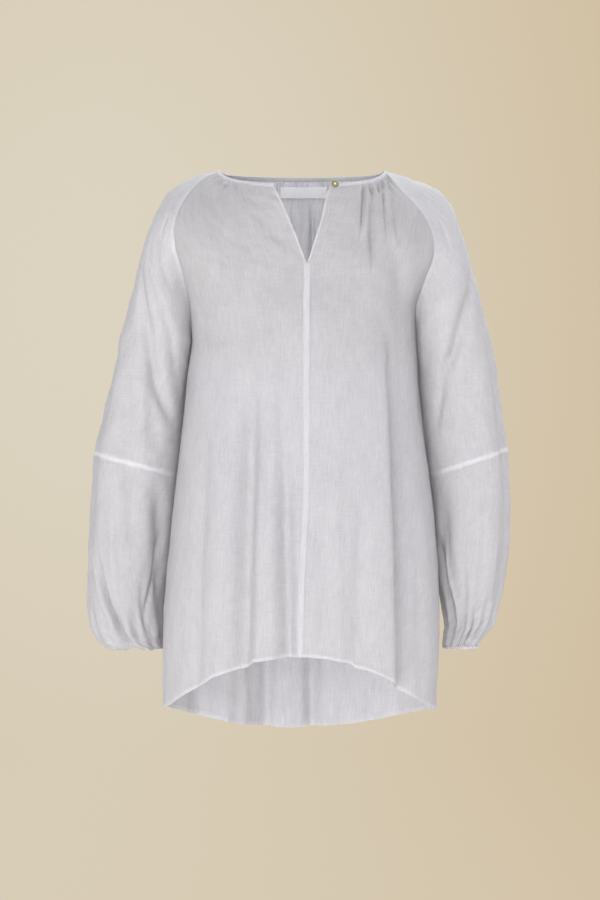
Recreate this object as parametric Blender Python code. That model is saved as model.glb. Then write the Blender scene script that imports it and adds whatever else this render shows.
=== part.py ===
"""Oversized linen blouse with balloon sleeves, filled out as if worn, with no wearer.

Metres, +Z up, +X to the viewer's right, and the front faces -Y. The origin is the middle of the
neck opening, level with the shoulders that the cloth rests on.

The cloth is worked out as one surface in levels. Level 0 is the neckline and level 1 the underarm.
On the body level 2 is the hem. On a sleeve level 2 is the forearm seam and level 3 the wrist.
Along a level, a share from 0 to 1 runs from the centre line to the seam on a body panel, and from
the front seam over the outer edge to the back seam on a sleeve. Tables give each side with +X
outward; the left side is mirrored at the end.
"""
import math

import bmesh
import bpy
import numpy as np

# Driving dimensions
CLOTH = 0.0016            # wall of the cloth panels
SEAM_GAP = 0.0003         # between two pieces that are sewn together
HEM_CLOTH = 0.0026        # wall where the hem is turned up
BINDING_HEIGHT = 0.0048   # bias strip round the neck
BINDING_CLOTH = 0.0026
CUFF_HEIGHT = 0.0048      # narrow casing at the wrist
CUFF_CLOTH = 0.0030
BAND_WIDTH = 0.0096       # felled seam down the centre front
BAND_CLOTH = 0.0010
LABEL_WIDTH = 0.066
LABEL_HEIGHT = 0.0165
LABEL_CLOTH = 0.0010
LABEL_DROP = 0.0085       # from the neck edge of the panels to the label's top
LABEL_SHIFT = 0.002
BUTTON_RADIUS = 0.0050
BUTTON_THICKNESS = 0.0026
BUTTON_SHARE = 0.26       # its place along the right front's neckline
LOOP_THREAD = 0.0012
LOOP_LENGTH = 0.009
LOOP_WIDTH = 0.006
LOOP_DROP = 0.006         # from the neckline to the middle of the loop
SLEEVE_GIRTH = 0.38       # turns a crease width into a share of the way round

# Levels of the surface
NECK = 0.0
SLIT_END = 0.56
UNDERARM = 1.0
HEM_TOP = 1.986           # where the hem's turned-up part begins
HEM = 2.0
FOREARM = 2.0
WRIST = 3.0

# Seam and outline curves, one row for each section. x is outward.
LINE = "level x y z"
FRONT_SEAM = {
    "left": [
        (0.00, 0.1178, -0.009, 0.0035), (0.15, 0.1421, -0.027, -0.0118),
        (0.30, 0.1646, -0.043, -0.0420), (0.45, 0.1761, -0.049, -0.0729),
        (0.60, 0.1754, -0.048, -0.1018), (0.80, 0.1635, -0.036, -0.1494),
        (0.90, 0.1559, -0.022, -0.1874), (1.00, 0.1545, 0.010, -0.2333)],
    "right": [
        (0.00, 0.1178, -0.009, 0.0025), (0.15, 0.1372, -0.029, -0.0234),
        (0.30, 0.1640, -0.044, -0.0540), (0.45, 0.1795, -0.049, -0.0850),
        (0.60, 0.1820, -0.048, -0.1150), (0.80, 0.1670, -0.036, -0.1580),
        (0.90, 0.1585, -0.022, -0.1880), (1.00, 0.1597, 0.010, -0.2306)],
}
BACK_SEAM = {
    "left": [
        (0.00, 0.1090, 0.031, 0.0015), (0.15, 0.1290, 0.046, -0.0110),
        (0.30, 0.1500, 0.062, -0.0360), (0.45, 0.1640, 0.071, -0.0680),
        (0.60, 0.1690, 0.073, -0.1040), (0.80, 0.1640, 0.060, -0.1580),
        (0.90, 0.1580, 0.042, -0.1920), (1.00, 0.1545, 0.010, -0.2333)],
    "right": [
        (0.00, 0.1090, 0.031, 0.0015), (0.15, 0.1290, 0.046, -0.0130),
        (0.30, 0.1510, 0.062, -0.0390), (0.45, 0.1660, 0.071, -0.0710),
        (0.60, 0.1720, 0.073, -0.1060), (0.80, 0.1680, 0.060, -0.1590),
        (0.90, 0.1620, 0.042, -0.1920), (1.00, 0.1597, 0.010, -0.2306)],
}
SIDE_SEAM = {
    "left": [
        (1.000, 0.1545, 0.010, -0.2333), (1.125, 0.1614, 0.006, -0.2960),
        (1.250, 0.1684, 0.003, -0.3600), (1.500, 0.1827, 0.000, -0.4900),
        (1.750, 0.1936, -0.002, -0.6200), (2.000, 0.1942, -0.002, -0.7460)],
    "right": [
        (1.000, 0.1597, 0.010, -0.2306), (1.125, 0.1637, 0.006, -0.2950),
        (1.250, 0.1704, 0.003, -0.3600), (1.500, 0.1860, 0.000, -0.4900),
        (1.750, 0.1924, -0.002, -0.6200), (2.000, 0.1876, -0.002, -0.7480)],
}
OUTER_EDGE = {
    "left": [
        (0.00, 0.1185, 0.010, 0.0045), (0.15, 0.1488, 0.010, -0.0031),
        (0.30, 0.1818, 0.011, -0.0171), (0.45, 0.1995, 0.013, -0.0422),
        (0.60, 0.2150, 0.014, -0.0786), (0.80, 0.2307, 0.017, -0.1346),
        (1.00, 0.2506, 0.020, -0.2048), (1.33, 0.2643, 0.024, -0.2652),
        (1.67, 0.2784, 0.027, -0.3258), (2.00, 0.2929, 0.030, -0.3878),
        (2.30, 0.2986, 0.030, -0.4626), (2.60, 0.3021, 0.030, -0.5473),
        (2.80, 0.3014, 0.030, -0.6137), (2.88, 0.2925, 0.030, -0.6437),
        (2.94, 0.2730, 0.031, -0.6640), (3.00, 0.2548, 0.034, -0.6500)],
    "right": [
        (0.00, 0.1185, 0.010, 0.0045), (0.15, 0.1480, 0.010, -0.0040),
        (0.30, 0.1830, 0.011, -0.0150), (0.45, 0.2080, 0.013, -0.0390),
        (0.60, 0.2240, 0.014, -0.0800), (0.80, 0.2425, 0.017, -0.1420),
        (1.00, 0.2590, 0.020, -0.2048), (1.33, 0.2742, 0.024, -0.2652),
        (1.67, 0.2812, 0.027, -0.3258), (2.00, 0.2894, 0.030, -0.3822),
        (2.30, 0.2943, 0.030, -0.4584), (2.60, 0.2901, 0.030, -0.5431),
        (2.80, 0.2774, 0.031, -0.6052), (2.90, 0.2650, 0.032, -0.6340),
        (2.96, 0.2540, 0.033, -0.6500), (3.00, 0.2492, 0.034, -0.6597)],
}
UNDERARM_SEAM = {
    "left": [
        (1.00, 0.1545, 0.010, -0.2333), (1.33, 0.1628, 0.028, -0.2932),
        (1.67, 0.1672, 0.035, -0.3567), (2.00, 0.1722, 0.040, -0.4190),
        (2.30, 0.1800, 0.042, -0.4912), (2.60, 0.1890, 0.042, -0.5662),
        (2.80, 0.1966, 0.040, -0.6225), (2.88, 0.1955, 0.038, -0.6480),
        (2.94, 0.1950, 0.036, -0.6640), (3.00, 0.2042, 0.034, -0.6500)],
    "right": [
        (1.00, 0.1597, 0.010, -0.2306), (1.33, 0.1642, 0.028, -0.2932),
        (1.67, 0.1685, 0.035, -0.3567), (2.00, 0.1770, 0.040, -0.4190),
        (2.30, 0.1835, 0.042, -0.4841), (2.60, 0.1880, 0.042, -0.5577),
        (2.80, 0.1975, 0.038, -0.6055), (2.90, 0.2034, 0.036, -0.6340),
        (2.96, 0.2010, 0.034, -0.6500), (3.00, 0.1985, 0.034, -0.6597)],
}
CENTRE_FRONT = [
    (0.00, 0.0000, -0.066, -0.0232), (0.15, 0.0020, -0.076, -0.0500),
    (0.30, 0.0040, -0.085, -0.0800), (0.45, 0.0060, -0.0925, -0.1100),
    (0.60, 0.0066, -0.099, -0.1400), (0.80, 0.0062, -0.107, -0.1820),
    (1.00, 0.0058, -0.114, -0.2320), (1.25, 0.0056, -0.123, -0.3400),
    (1.50, 0.0054, -0.129, -0.4500), (1.75, 0.0000, -0.133, -0.5580),
    (2.00, -0.0027, -0.135, -0.6645)]
CENTRE_BACK = [
    (0.00, 0.0000, 0.0765, 0.0000), (0.15, 0.0000, 0.088, -0.0300),
    (0.30, -0.0010, 0.098, -0.0620), (0.45, -0.0020, 0.104, -0.0940),
    (0.60, -0.0030, 0.1065, -0.1280), (0.80, -0.0050, 0.107, -0.1760),
    (1.00, -0.0070, 0.108, -0.2320), (1.25, -0.0100, 0.116, -0.3650),
    (1.50, -0.0140, 0.126, -0.5000), (1.75, -0.0180, 0.136, -0.6400),
    (2.00, -0.0208, 0.145, -0.7890)]

# How each level leaves its seams: turn is the angle in plan from +X, rise the angle upward.
# A body panel arrives at the seam and the sleeve leaves it; hold is the sleeve's handle length.
TURNS = "level body_turn body_rise sleeve_turn sleeve_rise hold"
FRONT_TURNS = [
    (0.00, 80, 30, 80, 28, 0.005), (0.15, 62, 36, 62, 36, 0.016),
    (0.30, 58, 34, 58, 34, 0.024), (0.45, 55, 26, 46, 32, 0.032),
    (0.60, 55, 12, 18, 22, 0.042), (0.80, 65, 4, -30, 10, 0.058),
    (0.90, 76, 0, -62, 4, 0.066), (1.00, 90, 0, -90, 0, 0.073)]
BACK_TURNS = [
    (0.00, 67, 2, 67, 6, 0.008), (0.15, 56, 34, 56, 34, 0.017),
    (0.30, 48, 32, 46, 32, 0.026), (0.45, 45, 24, 30, 28, 0.034),
    (0.60, 48, 10, 4, 18, 0.044), (0.80, 62, 2, -40, 8, 0.060),
    (0.90, 75, 0, -66, 2, 0.068), (1.00, 90, 0, -90, 0, 0.076)]
# How far a sleeve stands in front of its edges, and behind them.
SLEEVE_DEPTH = "level front back"
SLEEVE_DEPTHS = {
    "left": [
        (1.00, 0.055, 0.057), (1.33, 0.058, 0.060), (1.67, 0.060, 0.062), (2.00, 0.062, 0.064),
        (2.30, 0.066, 0.066), (2.60, 0.066, 0.066), (2.80, 0.058, 0.058), (2.88, 0.049, 0.049),
        (2.94, 0.0395, 0.0395), (3.00, 0.0253, 0.0253)],
    "right": [
        (1.00, 0.055, 0.057), (1.33, 0.058, 0.060), (1.67, 0.060, 0.062), (2.00, 0.062, 0.064),
        (2.30, 0.066, 0.066), (2.60, 0.064, 0.064), (2.80, 0.052, 0.052), (2.90, 0.038, 0.038),
        (2.96, 0.029, 0.029), (3.00, 0.0253, 0.0253)],
}

# Edges of the open slit at the centre front, from the neckline down.
SLIT = "level left right"
SLIT_EDGES = [
    (0.00, -0.0385, 0.0405), (0.04, -0.0352, 0.0352), (0.10, -0.0300, 0.0325), (0.25, -0.0170, 0.0260),
    (0.40, -0.0050, 0.0165), (0.50, 0.0025, 0.0105), (0.56, 0.0066, 0.0066)]


def table(columns, rows):
    """A table's named columns as arrays, one entry for each row."""
    return {name: np.array(values, float) for name, values in zip(columns.split(), zip(*rows))}


def read(source, name, level):
    """One column of a table at any levels, along a smooth cubic through its rows."""
    knots = source["level"]
    values = source[name]
    steps = np.diff(knots)
    slopes = np.diff(values) / steps
    inner = (slopes[:-1] * steps[1:] + slopes[1:] * steps[:-1]) / (steps[:-1] + steps[1:])
    tangents = np.concatenate(([slopes[0]], inner, [slopes[-1]]))
    level = np.clip(level, knots[0], knots[-1])
    k = np.clip(np.searchsorted(knots, level, side="right") - 1, 0, len(knots) - 2)
    s = (level - knots[k]) / steps[k]
    rise = values[k + 1] - values[k]
    start = tangents[k] * steps[k]
    end = tangents[k + 1] * steps[k]
    return values[k] + s * (start + s * (3 * rise - 2 * start - end + s * (start + end - 2 * rise)))


def entries(columns, rows):
    """Each row of a short table as a dictionary of its named columns."""
    return [dict(zip(columns.split(), row)) for row in rows]


def line_point(source, level):
    """A point of a seam or outline curve at any levels."""
    return np.stack([read(source, axis, level) for axis in "xyz"], axis=-1)


def bezier(p0, p1, p2, p3, s):
    """A cubic curve through two ends with a handle at each."""
    s = s[..., None]
    r = 1 - s
    return r * r * r * p0 + 3 * r * r * s * p1 + 3 * r * s * s * p2 + s * s * s * p3


def heading(turn, rise, side=1.0):
    """A direction from its angle in plan and its angle upward; side -1 turns it to the front."""
    turn = np.radians(turn)
    rise = np.radians(rise)
    return np.stack([np.cos(turn) * np.cos(rise), side * np.sin(turn) * np.cos(rise),
                     np.sin(rise)], axis=-1)


# Creases pressed into the body, by the viewer's x. lift is outward, and the widths are to each side.
BODY_CREASE = "face top top_x mid_x end end_x left right lift"
BODY_CREASES = [
    ("front", 1.05, -0.0700, -0.0770, 2.00, -0.0838, 0.013, 0.017, -0.0110),
    ("front", 1.20, -0.1080, -0.1130, 2.00, -0.1160, 0.020, 0.014, 0.0045),
    ("front", 0.90, -0.0325, -0.0240, 2.00, -0.0162, 0.010, 0.010, -0.0040),
    ("front", 1.40, 0.0820, 0.0790, 2.00, 0.0740, 0.010, 0.010, -0.0040),
    ("front", 0.92, 0.1080, 0.1190, 2.00, 0.1244, 0.030, 0.010, 0.0070),
    ("front", 0.95, 0.1230, 0.1340, 2.00, 0.1400, 0.010, 0.026, -0.0110),
    ("front", 0.20, -0.0640, -0.0400, 0.50, -0.0163, 0.009, 0.007, -0.0035),
    ("front", 0.10, 0.0940, 0.0950, 0.60, 0.0960, 0.008, 0.008, -0.0035),
    ("back", 0.45, -0.0450, -0.0520, 2.00, -0.0567, 0.020, 0.020, 0.0080),
    ("back", 0.55, 0.0200, 0.0140, 2.00, 0.0116, 0.016, 0.016, 0.0070),
    ("back", 0.80, -0.1020, -0.1080, 2.00, -0.1100, 0.016, 0.020, -0.0080),
    ("back", 0.70, 0.0620, 0.0680, 2.00, 0.0700, 0.018, 0.018, -0.0070),
    ("back", 0.95, 0.1180, 0.1270, 2.00, 0.1300, 0.016, 0.020, 0.0070),
]
# Creases pressed into the sleeves, by their share of the way round.
SLEEVE_CREASE = "side top top_share mid_share end end_share width lift"
SLEEVE_CREASES = [
    ("left", 0.72, 0.340, 0.245, 1.70, 0.110, 0.013, -0.0090),
    ("left", 1.30, 0.350, 0.280, 2.60, 0.215, 0.013, -0.0045),
    ("left", 2.02, 0.160, 0.105, 2.85, 0.060, 0.014, -0.0080),
    ("left", 1.10, 0.470, 0.455, 2.60, 0.440, 0.012, -0.0040),
    ("left", 0.80, 0.640, 0.720, 1.75, 0.850, 0.014, -0.0080),
    ("left", 1.45, 0.600, 0.650, 2.75, 0.700, 0.014, -0.0060),
    ("left", 1.90, 0.880, 0.830, 2.85, 0.800, 0.014, -0.0060),
    ("left", 2.60, 0.320, 0.285, 3.00, 0.236, 0.011, -0.0050),
    ("right", 0.62, 0.440, 0.290, 1.40, 0.150, 0.013, -0.0085),
    ("right", 1.00, 0.440, 0.430, 2.85, 0.415, 0.011, -0.0065),
    ("right", 1.25, 0.310, 0.260, 2.70, 0.220, 0.014, -0.0040),
    ("right", 2.05, 0.120, 0.110, 2.80, 0.100, 0.013, -0.0050),
    ("right", 0.75, 0.600, 0.740, 1.60, 0.860, 0.014, -0.0075),
    ("right", 1.35, 0.660, 0.640, 2.80, 0.700, 0.014, -0.0065),
    ("right", 1.95, 0.840, 0.850, 2.85, 0.820, 0.013, -0.0055),
]
# Gathers: waves that start at an edge of the cloth and die out away from it.
# held is the share of the wave that the stitching flattens, over the first part, near, of its reach.
GATHER = "piece side start end count lift edge reach held near"
GATHERS = [
    ("back", "left", 0.00, 0.52, 11, 0.0013, 0.0, 0.24, 0.2, 0.3),
    ("back", "right", 0.00, 0.52, 11, 0.0013, 0.0, 0.24, 0.2, 0.3),
    ("front", "left", 0.62, 0.92, 3, 0.0013, 0.0, 0.22, 0.2, 0.3),
    ("front", "right", 0.55, 0.97, 5, 0.0014, 0.0, 0.24, 0.2, 0.3),
    ("sleeve", "left", 0.00, 1.00, 14, 0.0036, 3.0, 0.34, 1.0, 0.80),
    ("sleeve", "right", 0.00, 1.00, 14, 0.0036, 3.0, 0.34, 0.7, 0.35),
]

SIGN = {"left": -1.0, "right": 1.0}
FACING = {"front": 1.0, "back": -1.0}
CENTRE = {"front": table(LINE, CENTRE_FRONT), "back": table(LINE, CENTRE_BACK)}
TURN = {"front": table(TURNS, FRONT_TURNS), "back": table(TURNS, BACK_TURNS)}
DEPTH = {side: table(SLEEVE_DEPTH, rows) for side, rows in SLEEVE_DEPTHS.items()}
SLIT_LINE = table(SLIT, SLIT_EDGES)
SEAM = {
    "front": {side: table(LINE, rows) for side, rows in FRONT_SEAM.items()},
    "back": {side: table(LINE, rows) for side, rows in BACK_SEAM.items()},
}
SIDE = {side: table(LINE, rows) for side, rows in SIDE_SEAM.items()}
OUTER = {side: table(LINE, rows) for side, rows in OUTER_EDGE.items()}
INNER = {side: table(LINE, rows) for side, rows in UNDERARM_SEAM.items()}
UP = np.array([0.0, 0.0, 1.0])
ALONG_Y = np.array([0.0, 1.0, 0.0])
OUTWARD = np.array([1.0, 0.0, 0.0])


def either(choose, first, second):
    """Points of the first array where choose holds, else of the second."""
    return np.where(choose[..., None], first, second)


def body_edge(face, side, level):
    """The edge of a body panel: its raglan seam down to the underarm, then its side seam."""
    return either(level < UNDERARM, line_point(SEAM[face][side], level),
                  line_point(SIDE[side], level))


def body_point(face, side, level, share):
    """A point of a smooth body panel, from the centre line round to its edge."""
    centre = line_point(CENTRE[face], level)
    centre[..., 0] *= SIGN[side]
    edge = body_edge(face, side, level)
    turn = np.radians(read(TURN[face], "body_turn", level))
    rise = np.radians(read(TURN[face], "body_rise", level))
    width = edge[..., 0] - centre[..., 0]
    depth = np.abs(edge[..., 1] - centre[..., 1])
    fullness = 4 / 3 * np.tan(turn / 4) / np.tan(turn / 2)
    first = fullness * (width - depth / np.tan(turn))
    last = fullness * depth / np.sin(turn)
    arrive = np.stack([np.cos(turn), FACING[face] * np.sin(turn), np.tan(rise)], axis=-1)
    return bezier(centre, centre + first[..., None] * OUTWARD, edge - last[..., None] * arrive,
                  edge, share)


def sleeve_point(side, level, share):
    """A point of a smooth sleeve, from the front seam over the outer edge to the back seam."""
    below = level >= UNDERARM
    inner = line_point(INNER[side], level)
    outer = line_point(OUTER[side], level)
    halves = []
    for face, turned in (("front", 1.0), ("back", -1.0)):
        seam = either(below, inner, line_point(SEAM[face][side], level))
        hold = np.where(below, 4 / 3 * read(DEPTH[side], face, level), read(TURN[face], "hold", level))
        hold = hold[..., None]
        leave = heading(read(TURN[face], "sleeve_turn", level),
                        read(TURN[face], "sleeve_rise", level), turned)
        way = 2 * share if face == "front" else 2 - 2 * share
        halves.append(bezier(seam, seam + hold * leave, outer - turned * hold * ALONG_Y, outer,
                             np.clip(way, 0, 1)))
    return either(share < 0.5, halves[0], halves[1])


def smooth_point(piece, side, level, share):
    """A point of the cloth before its creases and gathers."""
    if piece == "sleeve":
        return sleeve_point(side, level, share)
    return body_point(piece, side, level, share)


def directions(piece, side, level, share, step=0.001):
    """Unit directions at a point of the smooth cloth: out of it, and down along it."""
    down = (smooth_point(piece, side, level + step, share)
            - smooth_point(piece, side, level - step, share))
    across = (smooth_point(piece, side, level, share + step)
              - smooth_point(piece, side, level, share - step))
    out = np.cross(across, down) if piece == "back" else np.cross(down, across)
    return unit(out), unit(down)


def unit(vectors):
    """Vectors scaled to length one."""
    return vectors / np.linalg.norm(vectors, axis=-1, keepdims=True)


def ease(value):
    """A smooth step from 0 to 1."""
    value = np.clip(value, 0, 1)
    return value * value * (3 - 2 * value)


def crease_path(level, top, end, first, middle, last):
    """Where a crease lies at each level, and how strong it is there."""
    s = (level - top) / (end - top)
    place = first * (1 - s) * (1 - 2 * s) + middle * 4 * s * (1 - s) + last * s * (2 * s - 1)
    strength = ease((level - top) / 0.25 + 0.15 * (top <= NECK))
    if end < HEM or HEM < end < WRIST:
        strength = strength * ease((end - level) / 0.25)
    return place, strength


def body_relief(face, side, level, point):
    """How far the creases move a body panel outward."""
    x = point[..., 0] * SIGN[side]
    lift = np.zeros_like(x)
    for crease in entries(BODY_CREASE, BODY_CREASES):
        if crease["face"] != face:
            continue
        place, strength = crease_path(level, crease["top"], crease["end"], crease["top_x"],
                                      crease["mid_x"], crease["end_x"])
        away = x - place
        width = np.where(away < 0, crease["left"], crease["right"])
        lift += crease["lift"] * strength * np.exp(-(away / width) ** 2)
    return lift


def sleeve_relief(side, level, share):
    """How far the creases move a sleeve outward."""
    lift = np.zeros_like(share)
    for crease in entries(SLEEVE_CREASE, SLEEVE_CREASES):
        if crease["side"] != side:
            continue
        place, strength = crease_path(level, crease["top"], crease["end"], crease["top_share"],
                                      crease["mid_share"], crease["end_share"])
        away = (share - place) * SLEEVE_GIRTH
        lift += crease["lift"] * strength * np.exp(-(away / crease["width"]) ** 2)
    return lift * ease(share / 0.04) * ease((1 - share) / 0.04) * ease((WRIST - level) / 0.05)


def gather_relief(piece, side, level, share):
    """How far the gathers move the cloth outward."""
    lift = np.zeros_like(share)
    for gather in entries(GATHER, GATHERS):
        if (gather["piece"], gather["side"]) != (piece, side):
            continue
        s = (share - gather["start"]) / (gather["end"] - gather["start"])
        inside = (s >= 0) & (s <= 1)
        away = np.abs(level - gather["edge"]) / gather["reach"]
        fade = ease(1 - away) * (1 - gather["held"] * ease(1 - away / gather["near"]))
        wave = np.sin(2 * math.pi * gather["count"] * s)
        lift += gather["lift"] * inside * fade * wave
    return lift


def cloth_wall(level):
    """Wall thickness, which grows where the hem is turned up, and how far out its face moves."""
    thick = np.where(level >= HEM_TOP, HEM_CLOTH, CLOTH)
    return thick, (thick - CLOTH) / 2


def skin(piece, side, level, share, gathered=True):
    """Outer point of the creased cloth, its outward direction and its wall thickness."""
    point = smooth_point(piece, side, level, share)
    out, _ = directions(piece, side, level, share)
    if piece == "sleeve":
        lift = sleeve_relief(side, level, share)
        thick = np.full_like(share, CLOTH)
    else:
        thick, lift = cloth_wall(level)
        lift = lift + body_relief(piece, side, level, point)
    if gathered:
        lift = lift + gather_relief(piece, side, level, share)
    return point + lift[..., None] * out, out, thick


def seam_direction(face, side, level, step=0.001):
    """The direction across a raglan seam, from the body panel to the sleeve."""
    level = np.array(level, float)
    later = np.maximum(level, step)
    along = line_point(SEAM[face][side], later) - line_point(SEAM[face][side], later - step)
    body_out, _ = directions(face, side, level, np.array(1.0))
    sleeve_out, _ = directions("sleeve", side, level, np.array(0.0 if face == "front" else 1.0))
    out = unit(body_out + sleeve_out - 0.05 * UP)
    return FACING[face] * unit(np.cross(out, along))


def share_at(face, side, level, x):
    """The share of a body level at which the smooth cloth reaches an outward x."""
    low = np.zeros_like(level)
    high = np.ones_like(level)
    for _ in range(40):
        middle = (low + high) / 2
        short = body_point(face, side, level, middle)[..., 0] < x
        low = np.where(short, middle, low)
        high = np.where(short, high, middle)
    return (low + high) / 2


def front_start(side, level):
    """Where a front panel starts: at the slit's edge, and below the slit at the centre seam."""
    if level >= SLIT_END:
        return 0.0
    edge = SIGN[side] * read(SLIT_LINE, side, np.array(level))
    return float(share_at("front", side, np.array(level), edge))


def front_shares(side, level, shares):
    """A front level's shares: the edge, the felled strip's width and the given ones beyond."""
    level = np.array(level)
    start = front_start(side, level)
    begin = body_point("front", side, level, np.array(start))[0]
    strip = float(share_at("front", side, level, begin + BAND_WIDTH / 2))
    return np.array([start, strip] + [share for share in shares if share > strip + 0.025])


def steps(*runs):
    """Shares from runs of (start, end, number of steps) that follow one another."""
    parts = [np.linspace(start, end, count + 1)[:-1] for start, end, count in runs]
    return np.concatenate(parts + [[runs[-1][1]]])


def cloth_row(piece, side, level, shares, closed=False, shift=0.0):
    """One level of a cloth piece: outer and inner points, held back from its seams."""
    levels = np.full(len(shares), float(level))
    outer, out, thick = skin(piece, side, levels, shares)
    if level == WRIST:
        out = unit(out * (OUTWARD + ALONG_Y))
    inner = outer - thick[:, None] * out
    move = np.zeros_like(outer)
    half = SEAM_GAP / 2
    if piece == "sleeve" and level <= UNDERARM:
        move[0] += half * seam_direction("front", side, level)
        move[-1] += half * seam_direction("back", side, level)
    if piece != "sleeve":
        move[0] += half * OUTWARD
        if level <= UNDERARM:
            move[-1] -= half * seam_direction(piece, side, level)
        if level >= UNDERARM:
            move[-1] -= half * FACING[piece] * ALONG_Y
    if level == WRIST:
        move += half * UP
    elif shift:
        _, down = directions(piece, side, levels, shares)
        move += shift * half * down
    return {"outer": outer + move, "inner": inner + move, "shares": shares, "closed": closed}


def bridge(first, second, first_shares, second_shares):
    """Triangles between two rows of points, taken in order of their shares."""
    faces = []
    i = j = 0
    while i < len(first) - 1 or j < len(second) - 1:
        last_i = i == len(first) - 1
        last_j = j == len(second) - 1
        if last_j or (not last_i and first_shares[i + 1] <= second_shares[j + 1]):
            faces.append((first[i], second[j], first[i + 1]))
            i += 1
        else:
            faces.append((first[i], second[j], second[j + 1]))
            j += 1
    return [face for face in faces if len(set(face)) == 3]


def wall(name, rows, side, paint):
    """Make a piece of cloth from its rows: two faces of points, closed round their edges."""
    outer, inner, indices = [], [], []
    for row in rows:
        count = len(row["outer"]) - row["closed"]
        first = len(outer)
        outer.extend(row["outer"][:count])
        inner.extend(row["inner"][:count])
        indices.append([first + k % count for k in range(len(row["outer"]))])
    faces = []
    for k in range(len(rows) - 1):
        faces += bridge(indices[k], indices[k + 1], rows[k]["shares"], rows[k + 1]["shares"])
    edges = {edge for a, b, c in faces for edge in ((a, b), (b, c), (c, a))}
    behind = len(outer)
    shell = list(faces)
    shell += [(c + behind, b + behind, a + behind) for a, b, c in faces]
    for a, b in edges:
        if (b, a) not in edges:
            shell.append((b, a, a + behind))
            shell.append((b, a + behind, b + behind))
    points = np.array(outer + inner) * np.array([SIGN[side], 1.0, 1.0])
    return solid(name, points, shell, paint)


def solid(name, points, faces, paint):
    """Make one object from points and faces, with its faces turned outward."""
    mesh = bpy.data.meshes.new(name)
    mesh.from_pydata([tuple(point) for point in points], [], faces)
    shape = bmesh.new()
    shape.from_mesh(mesh)
    bmesh.ops.recalc_face_normals(shape, faces=shape.faces)
    shape.to_mesh(mesh)
    shape.free()
    mesh.shade_smooth()
    mesh.set_sharp_from_angle(angle=math.radians(50))
    mesh.materials.append(paint)
    piece = bpy.data.objects.new(name, mesh)
    bpy.context.scene.collection.objects.link(piece)
    return piece


def material(name, colour, roughness):
    """A plain finish for one piece."""
    paint = bpy.data.materials.new(name)
    paint.use_nodes = True
    shader = paint.node_tree.nodes["Principled BSDF"]
    shader.inputs["Base Color"].default_value = (*colour, 1.0)
    shader.inputs["Roughness"].default_value = roughness
    shader.inputs["Metallic"].default_value = 0.0
    return paint


# Levels at which the cloth has a row, and the shares of each row
GATHER_LEVELS = (0.0, 0.05, 0.11, 0.17, 0.23)
YOKE_LEVELS = (0.30, 0.38, 0.47, 0.56, 0.68, 0.80, 0.90, 1.00)
LOWER_LEVELS = (1.11, 1.23, 1.35, 1.48, 1.61, 1.74, 1.87, 1.982, HEM_TOP, HEM)
FRONT_PLAIN = steps((0.0, 1.0, 16))
FRONT_GATHERED = {
    "left": steps((0.0, 0.62, 8), (0.62, 0.92, 12), (0.92, 1.0, 1)),
    "right": steps((0.0, 0.55, 7), (0.55, 0.97, 20), (0.97, 1.0, 1)),
}
BACK_PLAIN = steps((0.0, 1.0, 15))
BACK_GATHERED = steps((0.0, 0.52, 44), (0.52, 1.0, 6))
BACK_HALFWAY = steps((0.0, 0.52, 22), (0.52, 1.0, 6))
SLEEVE_HEAD = steps((0.0, 1.0, 12))
SLEEVE_CAP = steps((0.0, 1.0, 16))
SLEEVE_ARM_LEVELS = (1.00, 1.10, 1.20, 1.30, 1.40, 1.52, 1.64, 1.76, 1.88)
SLEEVE_ARM = steps((0.0, 1.0, 20))
FOREARM_LEVELS = (2.12, 2.24, 2.36, 2.48, 2.59)
WRIST_LEVELS = (2.76, 2.82, 2.88, 2.94, 2.97)
WRIST_HALFWAY = steps((0.0, 1.0, 28))
WRIST_SHARES = steps((0.0, 1.0, 56))
CUFF_STEPS = 24
ROUND_STEPS = 16          # round the button
THREAD_STEPS = 8          # round the loop's thread


def front_panel(side, paint):
    """A half front: gathered into the neck beside the open slit, plain below."""
    gathered = FRONT_GATHERED[side]
    plan = [(level, gathered) for level in GATHER_LEVELS[:-1]]
    plan += [(level, FRONT_PLAIN) for level in GATHER_LEVELS[-1:] + YOKE_LEVELS + LOWER_LEVELS]
    rows = [cloth_row("front", side, level, front_shares(side, level, shares))
            for level, shares in plan]
    return wall(f"front_{side}", rows, side, paint)


def back_panel(side, paint):
    """A half back, gathered into the neck."""
    plan = [(level, BACK_GATHERED) for level in GATHER_LEVELS[:3]]
    plan += [(GATHER_LEVELS[3], BACK_HALFWAY)]
    plan += [(level, BACK_PLAIN) for level in GATHER_LEVELS[4:] + YOKE_LEVELS + LOWER_LEVELS]
    rows = [cloth_row("back", side, level, shares) for level, shares in plan]
    return wall(f"back_{side}", rows, side, paint)


def upper_sleeve(side, paint):
    """A sleeve from the neck over the shoulder to the forearm seam, a closed tube below the arm."""
    rows = [cloth_row("sleeve", side, level, SLEEVE_HEAD) for level in GATHER_LEVELS]
    rows += [cloth_row("sleeve", side, level, SLEEVE_CAP) for level in YOKE_LEVELS[:-1]]
    rows += [cloth_row("sleeve", side, level, SLEEVE_ARM, True) for level in SLEEVE_ARM_LEVELS]
    rows.append(cloth_row("sleeve", side, FOREARM, SLEEVE_ARM, True, shift=-1))
    return wall(f"upper_sleeve_{side}", rows, side, paint)


def lower_sleeve(side, paint):
    """A full forearm piece, gathered into the wrist."""
    rows = [cloth_row("sleeve", side, FOREARM, SLEEVE_ARM, True, shift=1)]
    rows += [cloth_row("sleeve", side, level, SLEEVE_ARM, True) for level in FOREARM_LEVELS]
    rows.append(cloth_row("sleeve", side, 2.68, WRIST_HALFWAY, True))
    rows += [cloth_row("sleeve", side, level, WRIST_SHARES, True) for level in WRIST_LEVELS]
    rows.append(cloth_row("sleeve", side, WRIST, WRIST_SHARES, True))
    return wall(f"lower_sleeve_{side}", rows, side, paint)


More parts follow.
